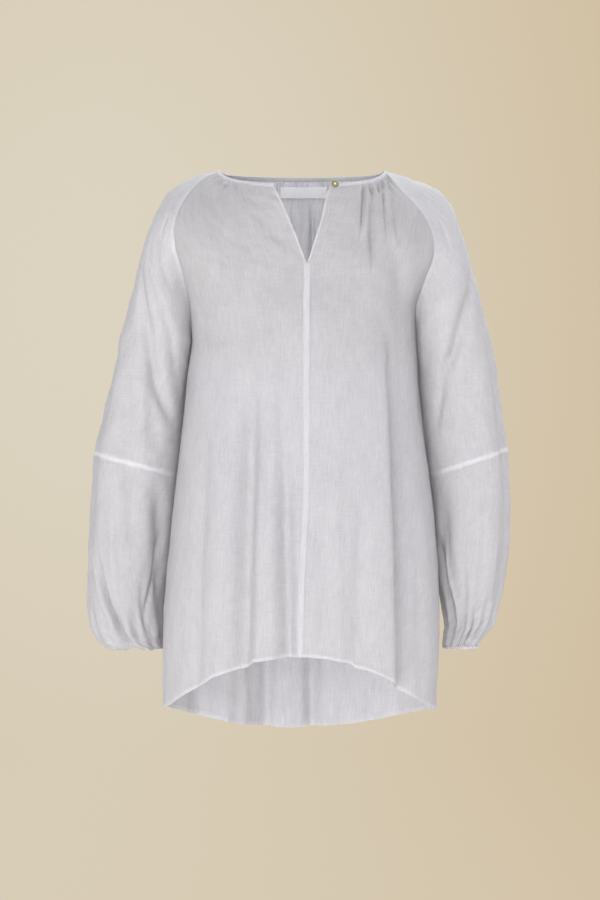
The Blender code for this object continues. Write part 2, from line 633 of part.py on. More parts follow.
def cuff(side, paint):
    """The narrow gathered casing at the wrist."""
    shares = steps((0.0, 1.0, CUFF_STEPS))
    ring = sleeve_point(side, np.full(len(shares), WRIST), shares)
    centre = (ring[0] + ring[CUFF_STEPS // 2]) / 2
    spoke = unit((ring - centre) * (OUTWARD + ALONG_Y))
    drops = (SEAM_GAP, SEAM_GAP + CUFF_HEIGHT / 2, SEAM_GAP + CUFF_HEIGHT)
    swells = (-0.0008, 0.0, -0.0006)
    rows = []
    for drop, swell in zip(drops, swells):
        outer = ring + swell * spoke - drop * UP
        inner = ring + (-CUFF_CLOTH - swell) * spoke - drop * UP
        rows.append({"outer": outer, "inner": inner, "shares": shares, "closed": True})
    return wall(f"cuff_{side}", rows, side, paint)


def neck_edge(piece, side, share):
    """A point of the panels' neckline, with the directions out of the cloth and up from it."""
    level = np.zeros_like(share)
    out, down = directions(piece, side, level, share)
    mirror = np.array([SIGN[side], 1.0, 1.0])
    return smooth_point(piece, side, level, share) * mirror, out * mirror, -down * mirror


def neck_run():
    """The whole neckline from the slit's left corner round the back to its right corner."""
    front = {side: np.linspace(front_start(side, 0.0), 1.0, 11) for side in SIGN}
    sleeve = np.linspace(0.0, 1.0, 6)
    back = np.linspace(1.0, 0.0, 10)
    parts = [neck_edge("front", "left", front["left"]), neck_edge("sleeve", "left", sleeve[1:]),
             neck_edge("back", "left", back[1:]), neck_edge("back", "right", back[-2::-1]),
             neck_edge("sleeve", "right", sleeve[-2::-1]),
             neck_edge("front", "right", front["right"][-2::-1])]
    return [np.concatenate(group) for group in zip(*parts)]


def neck_binding(paint):
    """The narrow bias strip that encloses the neckline, open at the slit."""
    edge, out, up = neck_run()
    shares = np.linspace(0.0, 1.0, len(edge))
    face = (BINDING_CLOTH - CLOTH) / 2
    rows = []
    for height, swell in ((SEAM_GAP, -0.0003), (BINDING_HEIGHT / 2, 0.0), (BINDING_HEIGHT, -0.0005)):
        middle = edge + height * up
        rows.append({"outer": middle + (face + swell) * out,
                     "inner": middle - (CLOTH + face + swell) * out,
                     "shares": shares, "closed": False})
    return wall("neck_binding", rows, "right", paint)


def strip_row(level):
    """One level of the centre front strip: left edge, seam and right edge, on the panels."""
    rows = []
    for side in ("left", "right"):
        levels = np.full(2, float(level))
        shares = front_shares(side, level, ())[::-1 if side == "left" else 1]
        outer, out, _ = skin("front", side, levels, shares)
        mirror = np.array([SIGN[side], 1.0, 1.0])
        rows.append((outer * mirror, out * mirror))
    points = np.concatenate([rows[0][0], rows[1][0][1:]])
    out = np.concatenate([rows[0][1], rows[1][1][1:]])
    return {"outer": points + (SEAM_GAP + BAND_CLOTH) * out, "inner": points + SEAM_GAP * out,
            "shares": np.array([0.0, 0.5, 1.0]), "closed": False}


def front_seam_band(paint):
    """The felled strip that covers the centre front seam from the slit down to the hem."""
    levels = [level for level in YOKE_LEVELS + LOWER_LEVELS if level >= SLIT_END]
    rows = [strip_row(level) for level in levels]
    return wall("front_seam_band", rows, "right", paint)


def neck_label(paint):
    """A bare woven label inside the back neck, just under the binding."""
    deepest = max(gather["lift"] for gather in entries(GATHER, GATHERS) if gather["piece"] == "back")
    depth = CLOTH + deepest + SEAM_GAP
    slope = line_point(CENTRE["back"], np.array([0.0, 0.15]))
    fall = np.linalg.norm(slope[1] - slope[0]) / 0.15
    rows = []
    for drop in np.linspace(LABEL_DROP, LABEL_DROP + LABEL_HEIGHT, 3):
        level = np.array(drop / fall)
        points = []
        for x in np.linspace(-LABEL_WIDTH / 2, LABEL_WIDTH / 2, 9) + LABEL_SHIFT:
            side = "left" if x < 0 else "right"
            share = share_at("back", side, level, abs(x))
            mirror = np.array([SIGN[side], 1.0, 1.0])
            out, _ = directions("back", side, level, share)
            points.append((body_point("back", side, level, share) * mirror, out * mirror))
        middle = np.array([point for point, _ in points])
        out = np.array([direction for _, direction in points])
        rows.append({"outer": middle - depth * out, "inner": middle - (depth + LABEL_CLOTH) * out,
                     "shares": np.linspace(0.0, 1.0, 9), "closed": False})
    return wall("neck_label", rows, "right", paint)


def ring_solid(name, rings, paint):
    """A solid through rings of points with equal counts, closed by a fan at each end."""
    count = len(rings[0])
    points = [point for ring in rings for point in ring]
    faces = []
    for k in range(len(rings) - 1):
        for i in range(count):
            a, b = k * count + i, k * count + (i + 1) % count
            faces += [(a, b, b + count), (a, b + count, a + count)]
    for ring, first in ((rings[0], 0), (rings[-1], (len(rings) - 1) * count)):
        points.append(np.mean(ring, axis=0))
        faces += [(first + i, first + (i + 1) % count, len(points) - 1) for i in range(count)]
    return solid(name, points, faces, paint)


def frame_at(point, out):
    """Two unit directions in the plane of a small piece, the first level with the ground."""
    level = unit(np.cross(out, UP))
    return level, np.cross(level, out)


def button(paint):
    """A round shell button with a raised rim, on the right corner of the neck."""
    edge, out, up = neck_edge("front", "right", np.array([BUTTON_SHARE]))
    out = out[0]
    seat = edge[0] + BINDING_HEIGHT / 2 * up[0] + ((BINDING_CLOTH - CLOTH) / 2 + SEAM_GAP) * out
    across, along = frame_at(seat, out)
    profile = ((0.84, 0.0), (1.0, 0.30), (1.0, 0.72), (0.90, 1.0), (0.74, 0.92), (0.62, 0.66),
               (0.20, 0.60))
    turn = np.linspace(0, 2 * math.pi, ROUND_STEPS + 1)[:-1]
    rings = []
    for radius, height in profile:
        ring = BUTTON_RADIUS * radius * (np.outer(np.cos(turn), across)
                                         + np.outer(np.sin(turn), along))
        rings.append(seat + BUTTON_THICKNESS * height * out + ring)
    return ring_solid("button", rings, paint)


def button_loop(paint):
    """A thread loop folded back behind the slit's left corner."""
    edge, out, up = neck_edge("front", "left", np.array([front_start("left", 0.0)]))
    out = out[0]
    seat = edge[0] - (CLOTH + 2 * SEAM_GAP + LOOP_THREAD / 2) * out - LOOP_DROP * up[0]
    across, along = frame_at(seat, out)
    across = -across if across[0] > 0 else across
    half = LOOP_WIDTH / 2
    path = [seat + half * along]
    for turn in np.linspace(0, math.pi, 9):
        path.append(seat + (LOOP_LENGTH + half * math.sin(turn)) * across
                    + half * math.cos(turn) * along)
    path.append(seat - half * along)
    path = np.array(path)
    turn = np.linspace(0, 2 * math.pi, THREAD_STEPS + 1)[:-1]
    rings = []
    for point, tangent in zip(path, unit(np.gradient(path, axis=0))):
        second = unit(np.cross(tangent, out))
        rings.append(point + LOOP_THREAD / 2 * (np.outer(np.cos(turn), out)
                                                + np.outer(np.sin(turn), second)))
    return ring_solid("button_loop", rings, paint)


def clear_scene():
    """Remove the scene's objects."""
    for thing in list(bpy.data.objects):
        bpy.data.objects.remove(thing, do_unlink=True)


def build():
    """Make every piece of the blouse."""
    clear_scene()
    linen = material("linen", (0.80, 0.77, 0.78), 0.85)
    sleeve_linen = material("sleeve_linen", (0.83, 0.82, 0.83), 0.85)
    binding = material("binding", (0.84, 0.82, 0.83), 0.8)
    woven = material("label_cloth", (0.86, 0.85, 0.84), 0.6)
    shell = material("button_shell", (0.55, 0.52, 0.36), 0.35)
    for side in SIGN:
        front_panel(side, linen)
        back_panel(side, linen)
        upper_sleeve(side, sleeve_linen)
        lower_sleeve(side, sleeve_linen)
        cuff(side, binding)
    front_seam_band(binding)
    neck_binding(binding)
    neck_label(woven)
    button(shell)
    button_loop(binding)


build()
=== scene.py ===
"""Looks of an oversized linen blouse with balloon sleeves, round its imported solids.

Metres, +Z up, +X to the viewer's right, and the front faces -Y, as in the frame. The cloth is one
surface in levels, the same as the solids': level 0 is the neckline, 1 the underarm and 2 the hem,
and on a sleeve 2 is the forearm seam and 3 the wrist. A share from 0 to 1 runs along a level, from
the centre line to the seam on a body panel and from the front seam round to the back seam on a
sleeve. Tables give each side with +X outward, in millimetres in the columns whose names end in
_mm; the left side is mirrored at the end.
"""
import math
from types import SimpleNamespace

import bmesh
import bpy
import numpy as np
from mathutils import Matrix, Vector, noise


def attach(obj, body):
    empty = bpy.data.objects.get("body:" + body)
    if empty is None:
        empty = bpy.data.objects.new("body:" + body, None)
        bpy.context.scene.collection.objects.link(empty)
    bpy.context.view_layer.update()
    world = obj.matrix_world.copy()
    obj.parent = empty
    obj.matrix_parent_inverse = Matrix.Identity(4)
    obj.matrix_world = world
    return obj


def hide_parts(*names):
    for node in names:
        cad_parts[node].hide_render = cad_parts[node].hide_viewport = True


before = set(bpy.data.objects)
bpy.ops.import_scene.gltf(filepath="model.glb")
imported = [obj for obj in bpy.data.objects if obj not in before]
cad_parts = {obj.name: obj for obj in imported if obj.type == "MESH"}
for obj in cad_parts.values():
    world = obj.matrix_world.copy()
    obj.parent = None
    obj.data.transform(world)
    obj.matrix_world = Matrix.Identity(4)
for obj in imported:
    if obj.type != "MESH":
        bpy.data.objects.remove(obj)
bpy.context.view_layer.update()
MILLIMETRE = 0.001

# The solids' own sizes that the looks depend on
CLOTH = 0.0016
SEAM_GAP = 0.0003
BINDING_HEIGHT = 0.0048
BINDING_CLOTH = 0.0026
CUFF_HEIGHT = 0.0048
BAND_WIDTH = 0.0096
BUTTON_RADIUS = 0.0050
BUTTON_THICKNESS = 0.0026
BUTTON_SHARE = 0.26       # its place along the right front's neckline
LOOP_LENGTH = 0.009
LOOP_WIDTH = 0.006
LOOP_DROP = 0.006
LABEL_WIDTH = 0.066
LABEL_HEIGHT = 0.0165
LABEL_DROP = 0.0085
LABEL_SHIFT = 0.002
SLEEVE_GIRTH = 0.38

# Levels of the surface
NECK = 0.0
SLIT_END = 0.56
ALLOWANCE_TOP = 0.62      # from here down the back seam's allowance is left loose
UNDERARM = 1.0
HEM_TOP = 1.986
HEM = 2.0
FOREARM = 2.0
WRIST = 3.0

# The real cloth
LINEN = 0.0005            # one layer
ALLOWANCE = 0.0005        # what a turned-in edge adds to it
HEM_FOLD = 0.0048         # height of the turned-up hem
RAGLAN_FELL = 0.0055      # width of the felled allowance beside a raglan seam
SIDE_FELL = 0.0055
FOREARM_FELL = 0.0045
SLIT_ROLL = 0.0026        # rolled edge of the slit
BACK_ALLOWANCE = 0.0026   # width of the back seam's allowance to each side
LABEL_CLOTH = 0.0004
LABEL_STAND = 0.0034      # how far the label hangs inside the back
STITCH = 0.0021
STITCH_GAP = 0.0007
THREAD = 0.00034
LOOP_THREAD = 0.0012

# How much paler doubled cloth is, and how much of that an edge shows: 0.9 all of it, 1.1 none
DOUBLED_SHADE = 0.045
HEM_SHOW = 0.99
RAGLAN_SHOW = 1.02
SIDE_SHOW = 1.04
# The fronts' upper colour is painted shade over the chest, fading in between these heights.
PAINTED_SHADE_REACH = (-0.31, -0.15)   # heights from the neckline between which the fronts change colour
YARN_PITCH = 0.0008
WARP_WIDTH = 0.0011
WEFT_WIDTH = 0.0012
SLUB_LENGTH = 0.018
WARP_CONTRAST = 0.32
WEFT_CONTRAST = 0.24
PATCH_CONTRAST = 0.12
PATCH_SIZE = (0.018, 0.040)

# Seam and outline curves, one row for each section. x is outward.
LINE = "level x_mm y_mm z_mm"
FRONT_SEAM = {
    "left": [
        (0, 117.8, -9, 3.5), (0.15, 142.1, -27, -11.8), (0.3, 164.6, -43, -42),
        (0.45, 176.1, -49, -72.9), (0.6, 175.4, -48, -101.8), (0.8, 163.5, -36, -149.4),
        (0.9, 155.9, -22, -187.4), (1, 154.5, 10, -233.3)],
    "right": [
        (0, 117.8, -9, 2.5), (0.15, 137.2, -29, -23.4), (0.3, 164, -44, -54),
        (0.45, 179.5, -49, -85), (0.6, 182, -48, -115), (0.8, 167, -36, -158),
        (0.9, 158.5, -22, -188), (1, 159.7, 10, -230.6)],
}
BACK_SEAM = {
    "left": [
        (0, 109, 31, 1.5), (0.15, 129, 46, -11), (0.3, 150, 62, -36), (0.45, 164, 71, -68),
        (0.6, 169, 73, -104), (0.8, 164, 60, -158), (0.9, 158, 42, -192), (1, 154.5, 10, -233.3)],
    "right": [
        (0, 109, 31, 1.5), (0.15, 129, 46, -13), (0.3, 151, 62, -39), (0.45, 166, 71, -71),
        (0.6, 172, 73, -106), (0.8, 168, 60, -159), (0.9, 162, 42, -192), (1, 159.7, 10, -230.6)],
}
SIDE_SEAM = {
    "left": [
        (1, 154.5, 10, -233.3), (1.125, 161.4, 6, -296), (1.25, 168.4, 3, -360),
        (1.5, 182.7, 0, -490), (1.75, 193.6, -2, -620), (2, 194.2, -2, -746)],
    "right": [
        (1, 159.7, 10, -230.6), (1.125, 163.7, 6, -295), (1.25, 170.4, 3, -360),
        (1.5, 186, 0, -490), (1.75, 192.4, -2, -620), (2, 187.6, -2, -748)],
}
OUTER_EDGE = {
    "left": [
        (0, 118.5, 10, 4.5), (0.15, 148.8, 10, -3.1), (0.3, 181.8, 11, -17.1),
        (0.45, 199.5, 13, -42.2), (0.6, 215, 14, -78.6), (0.8, 230.7, 17, -134.6),
        (1, 250.6, 20, -204.8), (1.33, 264.3, 24, -265.2), (1.67, 278.4, 27, -325.8),
        (2, 292.9, 30, -387.8), (2.3, 298.6, 30, -462.6), (2.6, 302.1, 30, -547.3),
        (2.8, 301.4, 30, -613.7), (2.88, 292.5, 30, -643.7), (2.94, 273, 31, -664),
        (3, 254.8, 34, -650)],
    "right": [
        (0, 118.5, 10, 4.5), (0.15, 148, 10, -4), (0.3, 183, 11, -15), (0.45, 208, 13, -39),
        (0.6, 224, 14, -80), (0.8, 242.5, 17, -142), (1, 259, 20, -204.8),
        (1.33, 274.2, 24, -265.2), (1.67, 281.2, 27, -325.8), (2, 289.4, 30, -382.2),
        (2.3, 294.3, 30, -458.4), (2.6, 290.1, 30, -543.1), (2.8, 277.4, 31, -605.2),
        (2.9, 265, 32, -634), (2.96, 254, 33, -650), (3, 249.2, 34, -659.7)],
}
UNDERARM_SEAM = {
    "left": [
        (1, 154.5, 10, -233.3), (1.33, 162.8, 28, -293.2), (1.67, 167.2, 35, -356.7),
        (2, 172.2, 40, -419), (2.3, 180, 42, -491.2), (2.6, 189, 42, -566.2),
        (2.8, 196.6, 40, -622.5), (2.88, 195.5, 38, -648), (2.94, 195, 36, -664),
        (3, 204.2, 34, -650)],
    "right": [
        (1, 159.7, 10, -230.6), (1.33, 164.2, 28, -293.2), (1.67, 168.5, 35, -356.7),
        (2, 177, 40, -419), (2.3, 183.5, 42, -484.1), (2.6, 188, 42, -557.7),
        (2.8, 197.5, 38, -605.5), (2.9, 203.4, 36, -634), (2.96, 201, 34, -650),
        (3, 198.5, 34, -659.7)],
}
CENTRE_LINE = {
    "front": [
        (0, 0, -66, -23.2), (0.15, 2, -76, -50), (0.3, 4, -85, -80), (0.45, 6, -92.5, -110),
        (0.6, 6.6, -99, -140), (0.8, 6.2, -107, -182), (1, 5.8, -114, -232),
        (1.25, 5.6, -123, -340), (1.5, 5.4, -129, -450), (1.75, 0, -133, -558),
        (2, -2.7, -135, -664.5)],
    "back": [
        (0, 0, 76.5, 0), (0.15, 0, 88, -30), (0.3, -1, 98, -62), (0.45, -2, 104, -94),
        (0.6, -3, 106.5, -128), (0.8, -5, 107, -176), (1, -7, 108, -232),
        (1.25, -10, 116, -365), (1.5, -14, 126, -500), (1.75, -18, 136, -640),
        (2, -20.8, 145, -789)],
}

# How each level leaves its seams: turn is the angle in plan from +X, rise the angle upward.
# A body panel arrives at the seam and the sleeve leaves it; hold is the sleeve's handle length.
SEAM_TURN = "level body_turn body_rise sleeve_turn sleeve_rise hold_mm"
SEAM_TURNS = {
    "front": [
        (0, 80, 30, 80, 28, 5), (0.15, 62, 36, 62, 36, 16), (0.3, 58, 34, 58, 34, 24),
        (0.45, 55, 26, 46, 32, 32), (0.6, 55, 12, 18, 22, 42), (0.8, 65, 4, -30, 10, 58),
        (0.9, 76, 0, -62, 4, 66), (1, 90, 0, -90, 0, 73)],
    "back": [
        (0, 67, 2, 67, 6, 8), (0.15, 56, 34, 56, 34, 17), (0.3, 48, 32, 46, 32, 26),
        (0.45, 45, 24, 30, 28, 34), (0.6, 48, 10, 4, 18, 44), (0.8, 62, 2, -40, 8, 60),
        (0.9, 75, 0, -66, 2, 68), (1, 90, 0, -90, 0, 76)],
}
# How far a sleeve stands in front of its edges, and behind them.
SLEEVE_DEPTH = "level front_mm back_mm"
SLEEVE_DEPTHS = {
    "left": [
        (1, 55, 57), (1.33, 58, 60), (1.67, 60, 62), (2, 62, 64), (2.3, 66, 66), (2.6, 66, 66),
        (2.8, 58, 58), (2.88, 49, 49), (2.94, 39.5, 39.5), (3, 25.3, 25.3)],
    "right": [
        (1, 55, 57), (1.33, 58, 60), (1.67, 60, 62), (2, 62, 64), (2.3, 66, 66), (2.6, 64, 64),
        (2.8, 52, 52), (2.9, 38, 38), (2.96, 29, 29), (3, 25.3, 25.3)],
}
# Edges of the open slit at the centre front, from the neckline down.
SLIT = "level left_mm right_mm"
SLIT_EDGES = [
    (0, -38.5, 40.5), (0.04, -35.2, 35.2), (0.1, -30, 32.5), (0.25, -17, 26), (0.4, -5, 16.5),
    (0.5, 2.5, 10.5), (0.56, 6.6, 6.6)]

# Creases pressed into the body, by the viewer's x. lift is outward, and the widths are to each
# side. The solids hold the first of each face, and the finer ones after them are only here.
BODY_CREASE = "top start_mm middle_mm end finish_mm left_mm right_mm lift_mm"
BODY_CREASES = {
    "front": [
        (1.05, -70, -77, 2, -83.8, 13, 17, -11),
        (1.2, -108, -113, 2, -116, 20, 14, 4.5),
        (0.9, -32.5, -24, 2, -16.2, 10, 10, -4),
        (1.4, 82, 79, 2, 74, 10, 10, -4),
        (0.92, 108, 119, 2, 124.4, 30, 10, 7),
        (0.95, 123, 134, 2, 140, 10, 26, -11),
        (0.2, -64, -40, 0.5, -16.3, 9, 7, -3.5),
        (0.1, 94, 95, 0.6, 96, 8, 8, -3.5),
        (-0.2, -102, -106.5, 0.42, -109, 3, 4, -2.2),
        (-0.2, -88, -90, 0.32, -93, 3, 3, -1.4),
        (-0.2, -100, -118, 0.55, -130, 6, 6, -2),
        (-0.2, 87.8, 83.8, 0.46, 77.2, 1.8, 2.8, -5),
        (-0.2, 91.5, 90.5, 0.4, 88.5, 2.4, 2.4, 1.8),
        (-0.2, 95.5, 96.2, 0.72, 96.5, 4, 3, -3.4),
        (-0.2, 104.3, 105.5, 0.24, 107, 1.6, 1.8, -2.6),
        (-0.2, 107.2, 112.5, 0.48, 117, 1.8, 2.2, -3.4),
        (-0.2, 112.5, 124, 0.55, 137, 2.6, 5, -3),
        (0.35, 118, 133, 1, 143, 14, 12, -5.5),
        (0.15, -60, -38, 0.5, -18, 9, 8, -1.2),
        (0.9, -56, -60, 2, -62, 10, 8, 2.2),
        (1.25, -130, -138, 2, -142, 9, 8, -3),
        (1.45, 24, 26, 2, 30, 10, 12, -2.6),
        (1.3, 50, 48, 2, 52, 9, 8, 2),
        (1.35, 156, 164, 2, 168, 8, 8, -3.4),
        (1.1, -64, -72, 2, -80, 20, 10, -6),
        (1.3, -22, -21.5, 2, -19, 17, 10, -9.5),
        (1.2, -44, -43, 2, -42, 10, 12, 3.5),
        (0.98, 120, 131, 2, 136, 8, 17, -10)],
    "back": [
        (0.45, -45, -52, 2, -56.7, 20, 20, 8),
        (0.55, 20, 14, 2, 11.6, 16, 16, 7),
        (0.8, -102, -108, 2, -110, 16, 20, -8),
        (0.7, 62, 68, 2, 70, 18, 18, -7),
        (0.95, 118, 127, 2, 130, 16, 20, 7),
        (0.1, -12.8, -13.6, 0.7, -14.2, 2.2, 2.2, 5),
        (0.1, 15, 15, 1.1, 13, 4, 3, 8.5),
        (-0.2, 0, 1, 0.55, 2, 2.2, 2.2, 2.2),
        (0.16, 8.5, 8, 0.7, 7, 2.6, 3, -2.6),
        (0.6, -78, -80, 2, -84, 10, 8, -4),
        (0.9, 38, 40, 2, 42, 9, 10, 3.4),
        (1.1, 95, 98, 2, 102, 8, 10, -4),
        (1, -138, -142, 2, -146, 9, 8, 3.6),
        (1.3, -20, -20, 2, -20.8, 7, 7, -4),
        (1.3, -44, -47, 2, -49, 11, 8, 10),
        (1.3, 8, 10, 2, 12.5, 8, 13, 10),
        (1.5, -142, -150, 2, -154, 9, 11, 5)],
}
# Creases pressed into the sleeves, by their share of the way round, in the same order.
SLEEVE_CREASE = "top start middle end finish width_mm lift_mm"
SLEEVE_CREASES = {
    "left": [
        (0.72, 0.34, 0.245, 1.7, 0.11, 13, -9),
        (1.3, 0.35, 0.28, 2.6, 0.215, 13, -4.5),
        (2.02, 0.16, 0.105, 2.85, 0.06, 14, -8),
        (1.1, 0.47, 0.455, 2.6, 0.44, 12, -4),
        (0.8, 0.64, 0.72, 1.75, 0.85, 14, -8),
        (1.45, 0.6, 0.65, 2.75, 0.7, 14, -6),
        (1.9, 0.88, 0.83, 2.85, 0.8, 14, -6),
        (2.6, 0.32, 0.285, 3, 0.236, 11, -5),
        (0.3, 0.12, 0.11, 0.95, 0.08, 7, -1.4),
        (0.55, 0.23, 0.18, 1.35, 0.1, 9, -2.4),
        (1.15, 0.255, 0.215, 1.95, 0.18, 11, -3),
        (2.46, 0.405, 0.318, 2.99, 0.205, 3.4, -6.2),
        (2.44, 0.44, 0.35, 2.99, 0.236, 7, 5),
        (2.55, 0.3, 0.262, 2.99, 0.182, 8, 3.4),
        (2.2, 0.33, 0.31, 2.8, 0.28, 7, 3),
        (2.35, 0.43, 0.44, 2.9, 0.43, 6, -2.8),
        (2.25, 0.08, 0.12, 2.95, 0.17, 6, -4),
        (2.55, 0.18, 0.16, 2.98, 0.12, 5.5, -3.4),
        (1.2, 0.78, 0.74, 1.9, 0.7, 7, -3),
        (2.2, 0.6, 0.61, 2.9, 0.64, 7, -3.4)],
    "right": [
        (0.62, 0.44, 0.29, 1.4, 0.15, 13, -8.5),
        (1, 0.44, 0.43, 2.85, 0.415, 11, -6.5),
        (1.25, 0.31, 0.26, 2.7, 0.22, 14, -4),
        (2.05, 0.12, 0.11, 2.8, 0.1, 13, -5),
        (0.75, 0.6, 0.74, 1.6, 0.86, 14, -7.5),
        (1.35, 0.66, 0.64, 2.8, 0.7, 14, -6.5),
        (1.95, 0.84, 0.85, 2.85, 0.82, 13, -5.5),
        (0.3, 0.13, 0.12, 0.9, 0.085, 7, -1.4),
        (0.6, 0.38, 0.29, 1.3, 0.19, 10, -2.4),
        (0.8, 0.28, 0.22, 1.6, 0.14, 10, -2.4),
        (1.1, 0.2, 0.16, 1.8, 0.12, 6, -3),
        (2.05, 0.3, 0.29, 2.85, 0.27, 7, -2.8),
        (2.2, 0.38, 0.385, 2.85, 0.37, 6, -3),
        (2.36, 0.07, 0.09, 2.96, 0.15, 6, -8.5),
        (2.34, 0.105, 0.128, 2.9, 0.19, 4, 4.5),
        (2.74, 0.33, 0.318, 3, 0.3, 3.4, -4),
        (2.78, 0.26, 0.268, 3, 0.282, 3, -3.6),
        (2.76, 0.395, 0.378, 3, 0.35, 3.4, -3.8),
        (2.4, 0.2, 0.205, 2.9, 0.21, 5, -2.6),
        (1.3, 0.56, 0.59, 2, 0.62, 7, -3),
        (2.15, 0.72, 0.7, 2.85, 0.68, 7, -3.4)],
}
# Gathers: waves that start at an edge of the cloth and die out away from it.
# held is the share of the wave that the stitching flattens, over the first part, near, of its reach.
GATHER = "start end count lift_mm edge reach held near"
GATHERS = {
    ("back", "left"): (0, 0.52, 11, 1.3, 0, 0.24, 0.2, 0.3),
    ("back", "right"): (0, 0.52, 11, 1.3, 0, 0.24, 0.2, 0.3),
    ("front", "left"): (0.62, 0.92, 3, 1.3, 0, 0.22, 0.2, 0.3),
    ("front", "right"): (0.55, 0.97, 5, 1.4, 0, 0.24, 0.2, 0.3),
    ("sleeve", "left"): (0, 1, 14, 3.6, 3, 0.34, 1, 0.8),
    ("sleeve", "right"): (0, 1, 14, 3.6, 3, 0.34, 0.7, 0.35),
}
# Small uneven gathers that only these looks have
FINE_GATHER = "start end count lift_mm edge reach"
FINE_GATHERS = {
    ("back", "left"): (0, 0.75, 29, 1.1, 0, 0.17),
    ("back", "right"): (0, 0.75, 29, 1.1, 0, 0.17),
    ("front", "left"): (0.4, 0.98, 17, 0.5, 0, 0.11),
    ("front", "right"): (0.45, 0.98, 19, 0.6, 0, 0.13),
    ("sleeve", "left"): (0, 1, 31, 0.8, 3, 0.17),
    ("sleeve", "right"): (0, 1, 37, 1.5, 3, 0.2),
}
# Small steps in the front hem where a fold meets it, by the viewer's x
HEM_STEP = "x_mm width_mm rise_mm reach"
HEM_STEPS = [(-70, 2.2, 1.8, 5), (69, 2.6, -2.4, 5), (-127, 3, 1, 5)]
# Soft unevenness all over: how high, and the wavelengths across and along the fall of the cloth
UNEVEN = "lift_mm across_mm along_mm seed"
UNEVENNESS = [(1.8, 45, 240, 3), (0.9, 18, 70, 11), (0.3, 7, 22, 23)]
PIECE_SEED = {"front": 0.0, "back": 7.0, "sleeve": 19.0}
CRUMPLE_LIFT = 0.0042     # crumples at the wrist, and their size across and along the sleeve
CRUMPLE_SIZE = (0.016, 0.009)
CREASE_FADE = 0.25        # levels over which a crease comes in and dies out
HEM_STEP_TOP = 1.86       # the level from which the fronts move with their hem's steps
CUFF_GIRTH = 0.16
LOWER_GRAIN = 0.5         # shifts the lower sleeve's weave, so that it doesn't repeat the upper's


def table(columns, rows):
    """A table's named columns as arrays, one entry for each row, with millimetres as metres."""
    arrays = {}
    for name, values in zip(columns.split(), zip(*rows)):
        scale = MILLIMETRE if name.endswith("_mm") else 1.0
        arrays[name.removesuffix("_mm")] = scale * np.array(values, float)
    return arrays


def both(columns, tables):
    """The tables of both sides, or of front and back."""
    return {key: table(columns, rows) for key, rows in tables.items()}


def entries(columns, rows):
    """Each row of a table as a dictionary of its named columns."""
    named = table(columns, rows)
    return [dict(zip(named, row)) for row in zip(*named.values())]


def read(source, name, level):
    """One column of a table at any levels, along a smooth cubic through its rows."""
    knots = source["level"]
    values = source[name]
    gaps = np.diff(knots)
    slopes = np.diff(values) / gaps
    inner = (slopes[:-1] * gaps[1:] + slopes[1:] * gaps[:-1]) / (gaps[:-1] + gaps[1:])
    tangents = np.concatenate(([slopes[0]], inner, [slopes[-1]]))
    level = np.clip(level, knots[0], knots[-1])
    k = np.clip(np.searchsorted(knots, level, side="right") - 1, 0, len(knots) - 2)
    s = (level - knots[k]) / gaps[k]
    rise = values[k + 1] - values[k]
    start = tangents[k] * gaps[k]
    end = tangents[k + 1] * gaps[k]
    return values[k] + s * (start + s * (3 * rise - 2 * start - end + s * (start + end - 2 * rise)))


SIGN = {"left": -1.0, "right": 1.0}
MIRROR = {side: np.array([sign, 1.0, 1.0]) for side, sign in SIGN.items()}
FACING = {"front": 1.0, "back": -1.0}
CENTRE = both(LINE, CENTRE_LINE)
TURN = both(SEAM_TURN, SEAM_TURNS)
DEPTH = both(SLEEVE_DEPTH, SLEEVE_DEPTHS)
SEAM = {"front": both(LINE, FRONT_SEAM), "back": both(LINE, BACK_SEAM)}
SIDE = both(LINE, SIDE_SEAM)
OUTER = both(LINE, OUTER_EDGE)
INNER = both(LINE, UNDERARM_SEAM)
SLIT_LINE = table(SLIT, SLIT_EDGES)
UP = np.array([0.0, 0.0, 1.0])
ALONG_Y = np.array([0.0, 1.0, 0.0])
OUTWARD = np.array([1.0, 0.0, 0.0])


def line_point(source, level):
    """A point of a seam or outline curve at any levels."""
    return np.stack([read(source, axis, level) for axis in "xyz"], axis=-1)


def bezier(p0, p1, p2, p3, s):
    """A cubic curve through two ends with a handle at each."""
    s = s[..., None]
    r = 1 - s
    return r * r * r * p0 + 3 * r * r * s * p1 + 3 * r * s * s * p2 + s * s * s * p3


def heading(turn, rise, side):
    """A direction from its angle in plan and its angle upward; side -1 turns it to the front."""
    turn = np.radians(turn)
    rise = np.radians(rise)
    return np.stack([np.cos(turn) * np.cos(rise), side * np.sin(turn) * np.cos(rise),
                     np.sin(rise)], axis=-1)


def either(choose, first, second):
    """Points of the first array where choose holds, else of the second."""
    return np.where(choose[..., None], first, second)


def body_point(face, side, level, share):
    """A point of a smooth body panel, from the centre line round to its edge."""
    centre = line_point(CENTRE[face], level) * MIRROR[side]
    edge = either(level < UNDERARM, line_point(SEAM[face][side], level),
                  line_point(SIDE[side], level))
    turn = np.radians(read(TURN[face], "body_turn", level))
    rise = np.radians(read(TURN[face], "body_rise", level))
    width = edge[..., 0] - centre[..., 0]
    depth = np.abs(edge[..., 1] - centre[..., 1])
    fullness = 4 / 3 * np.tan(turn / 4) / np.tan(turn / 2)
    first = fullness * (width - depth / np.tan(turn))
    last = fullness * depth / np.sin(turn)
    arrive = np.stack([np.cos(turn), FACING[face] * np.sin(turn), np.tan(rise)], axis=-1)
    return bezier(centre, centre + first[..., None] * OUTWARD, edge - last[..., None] * arrive,
                  edge, share)


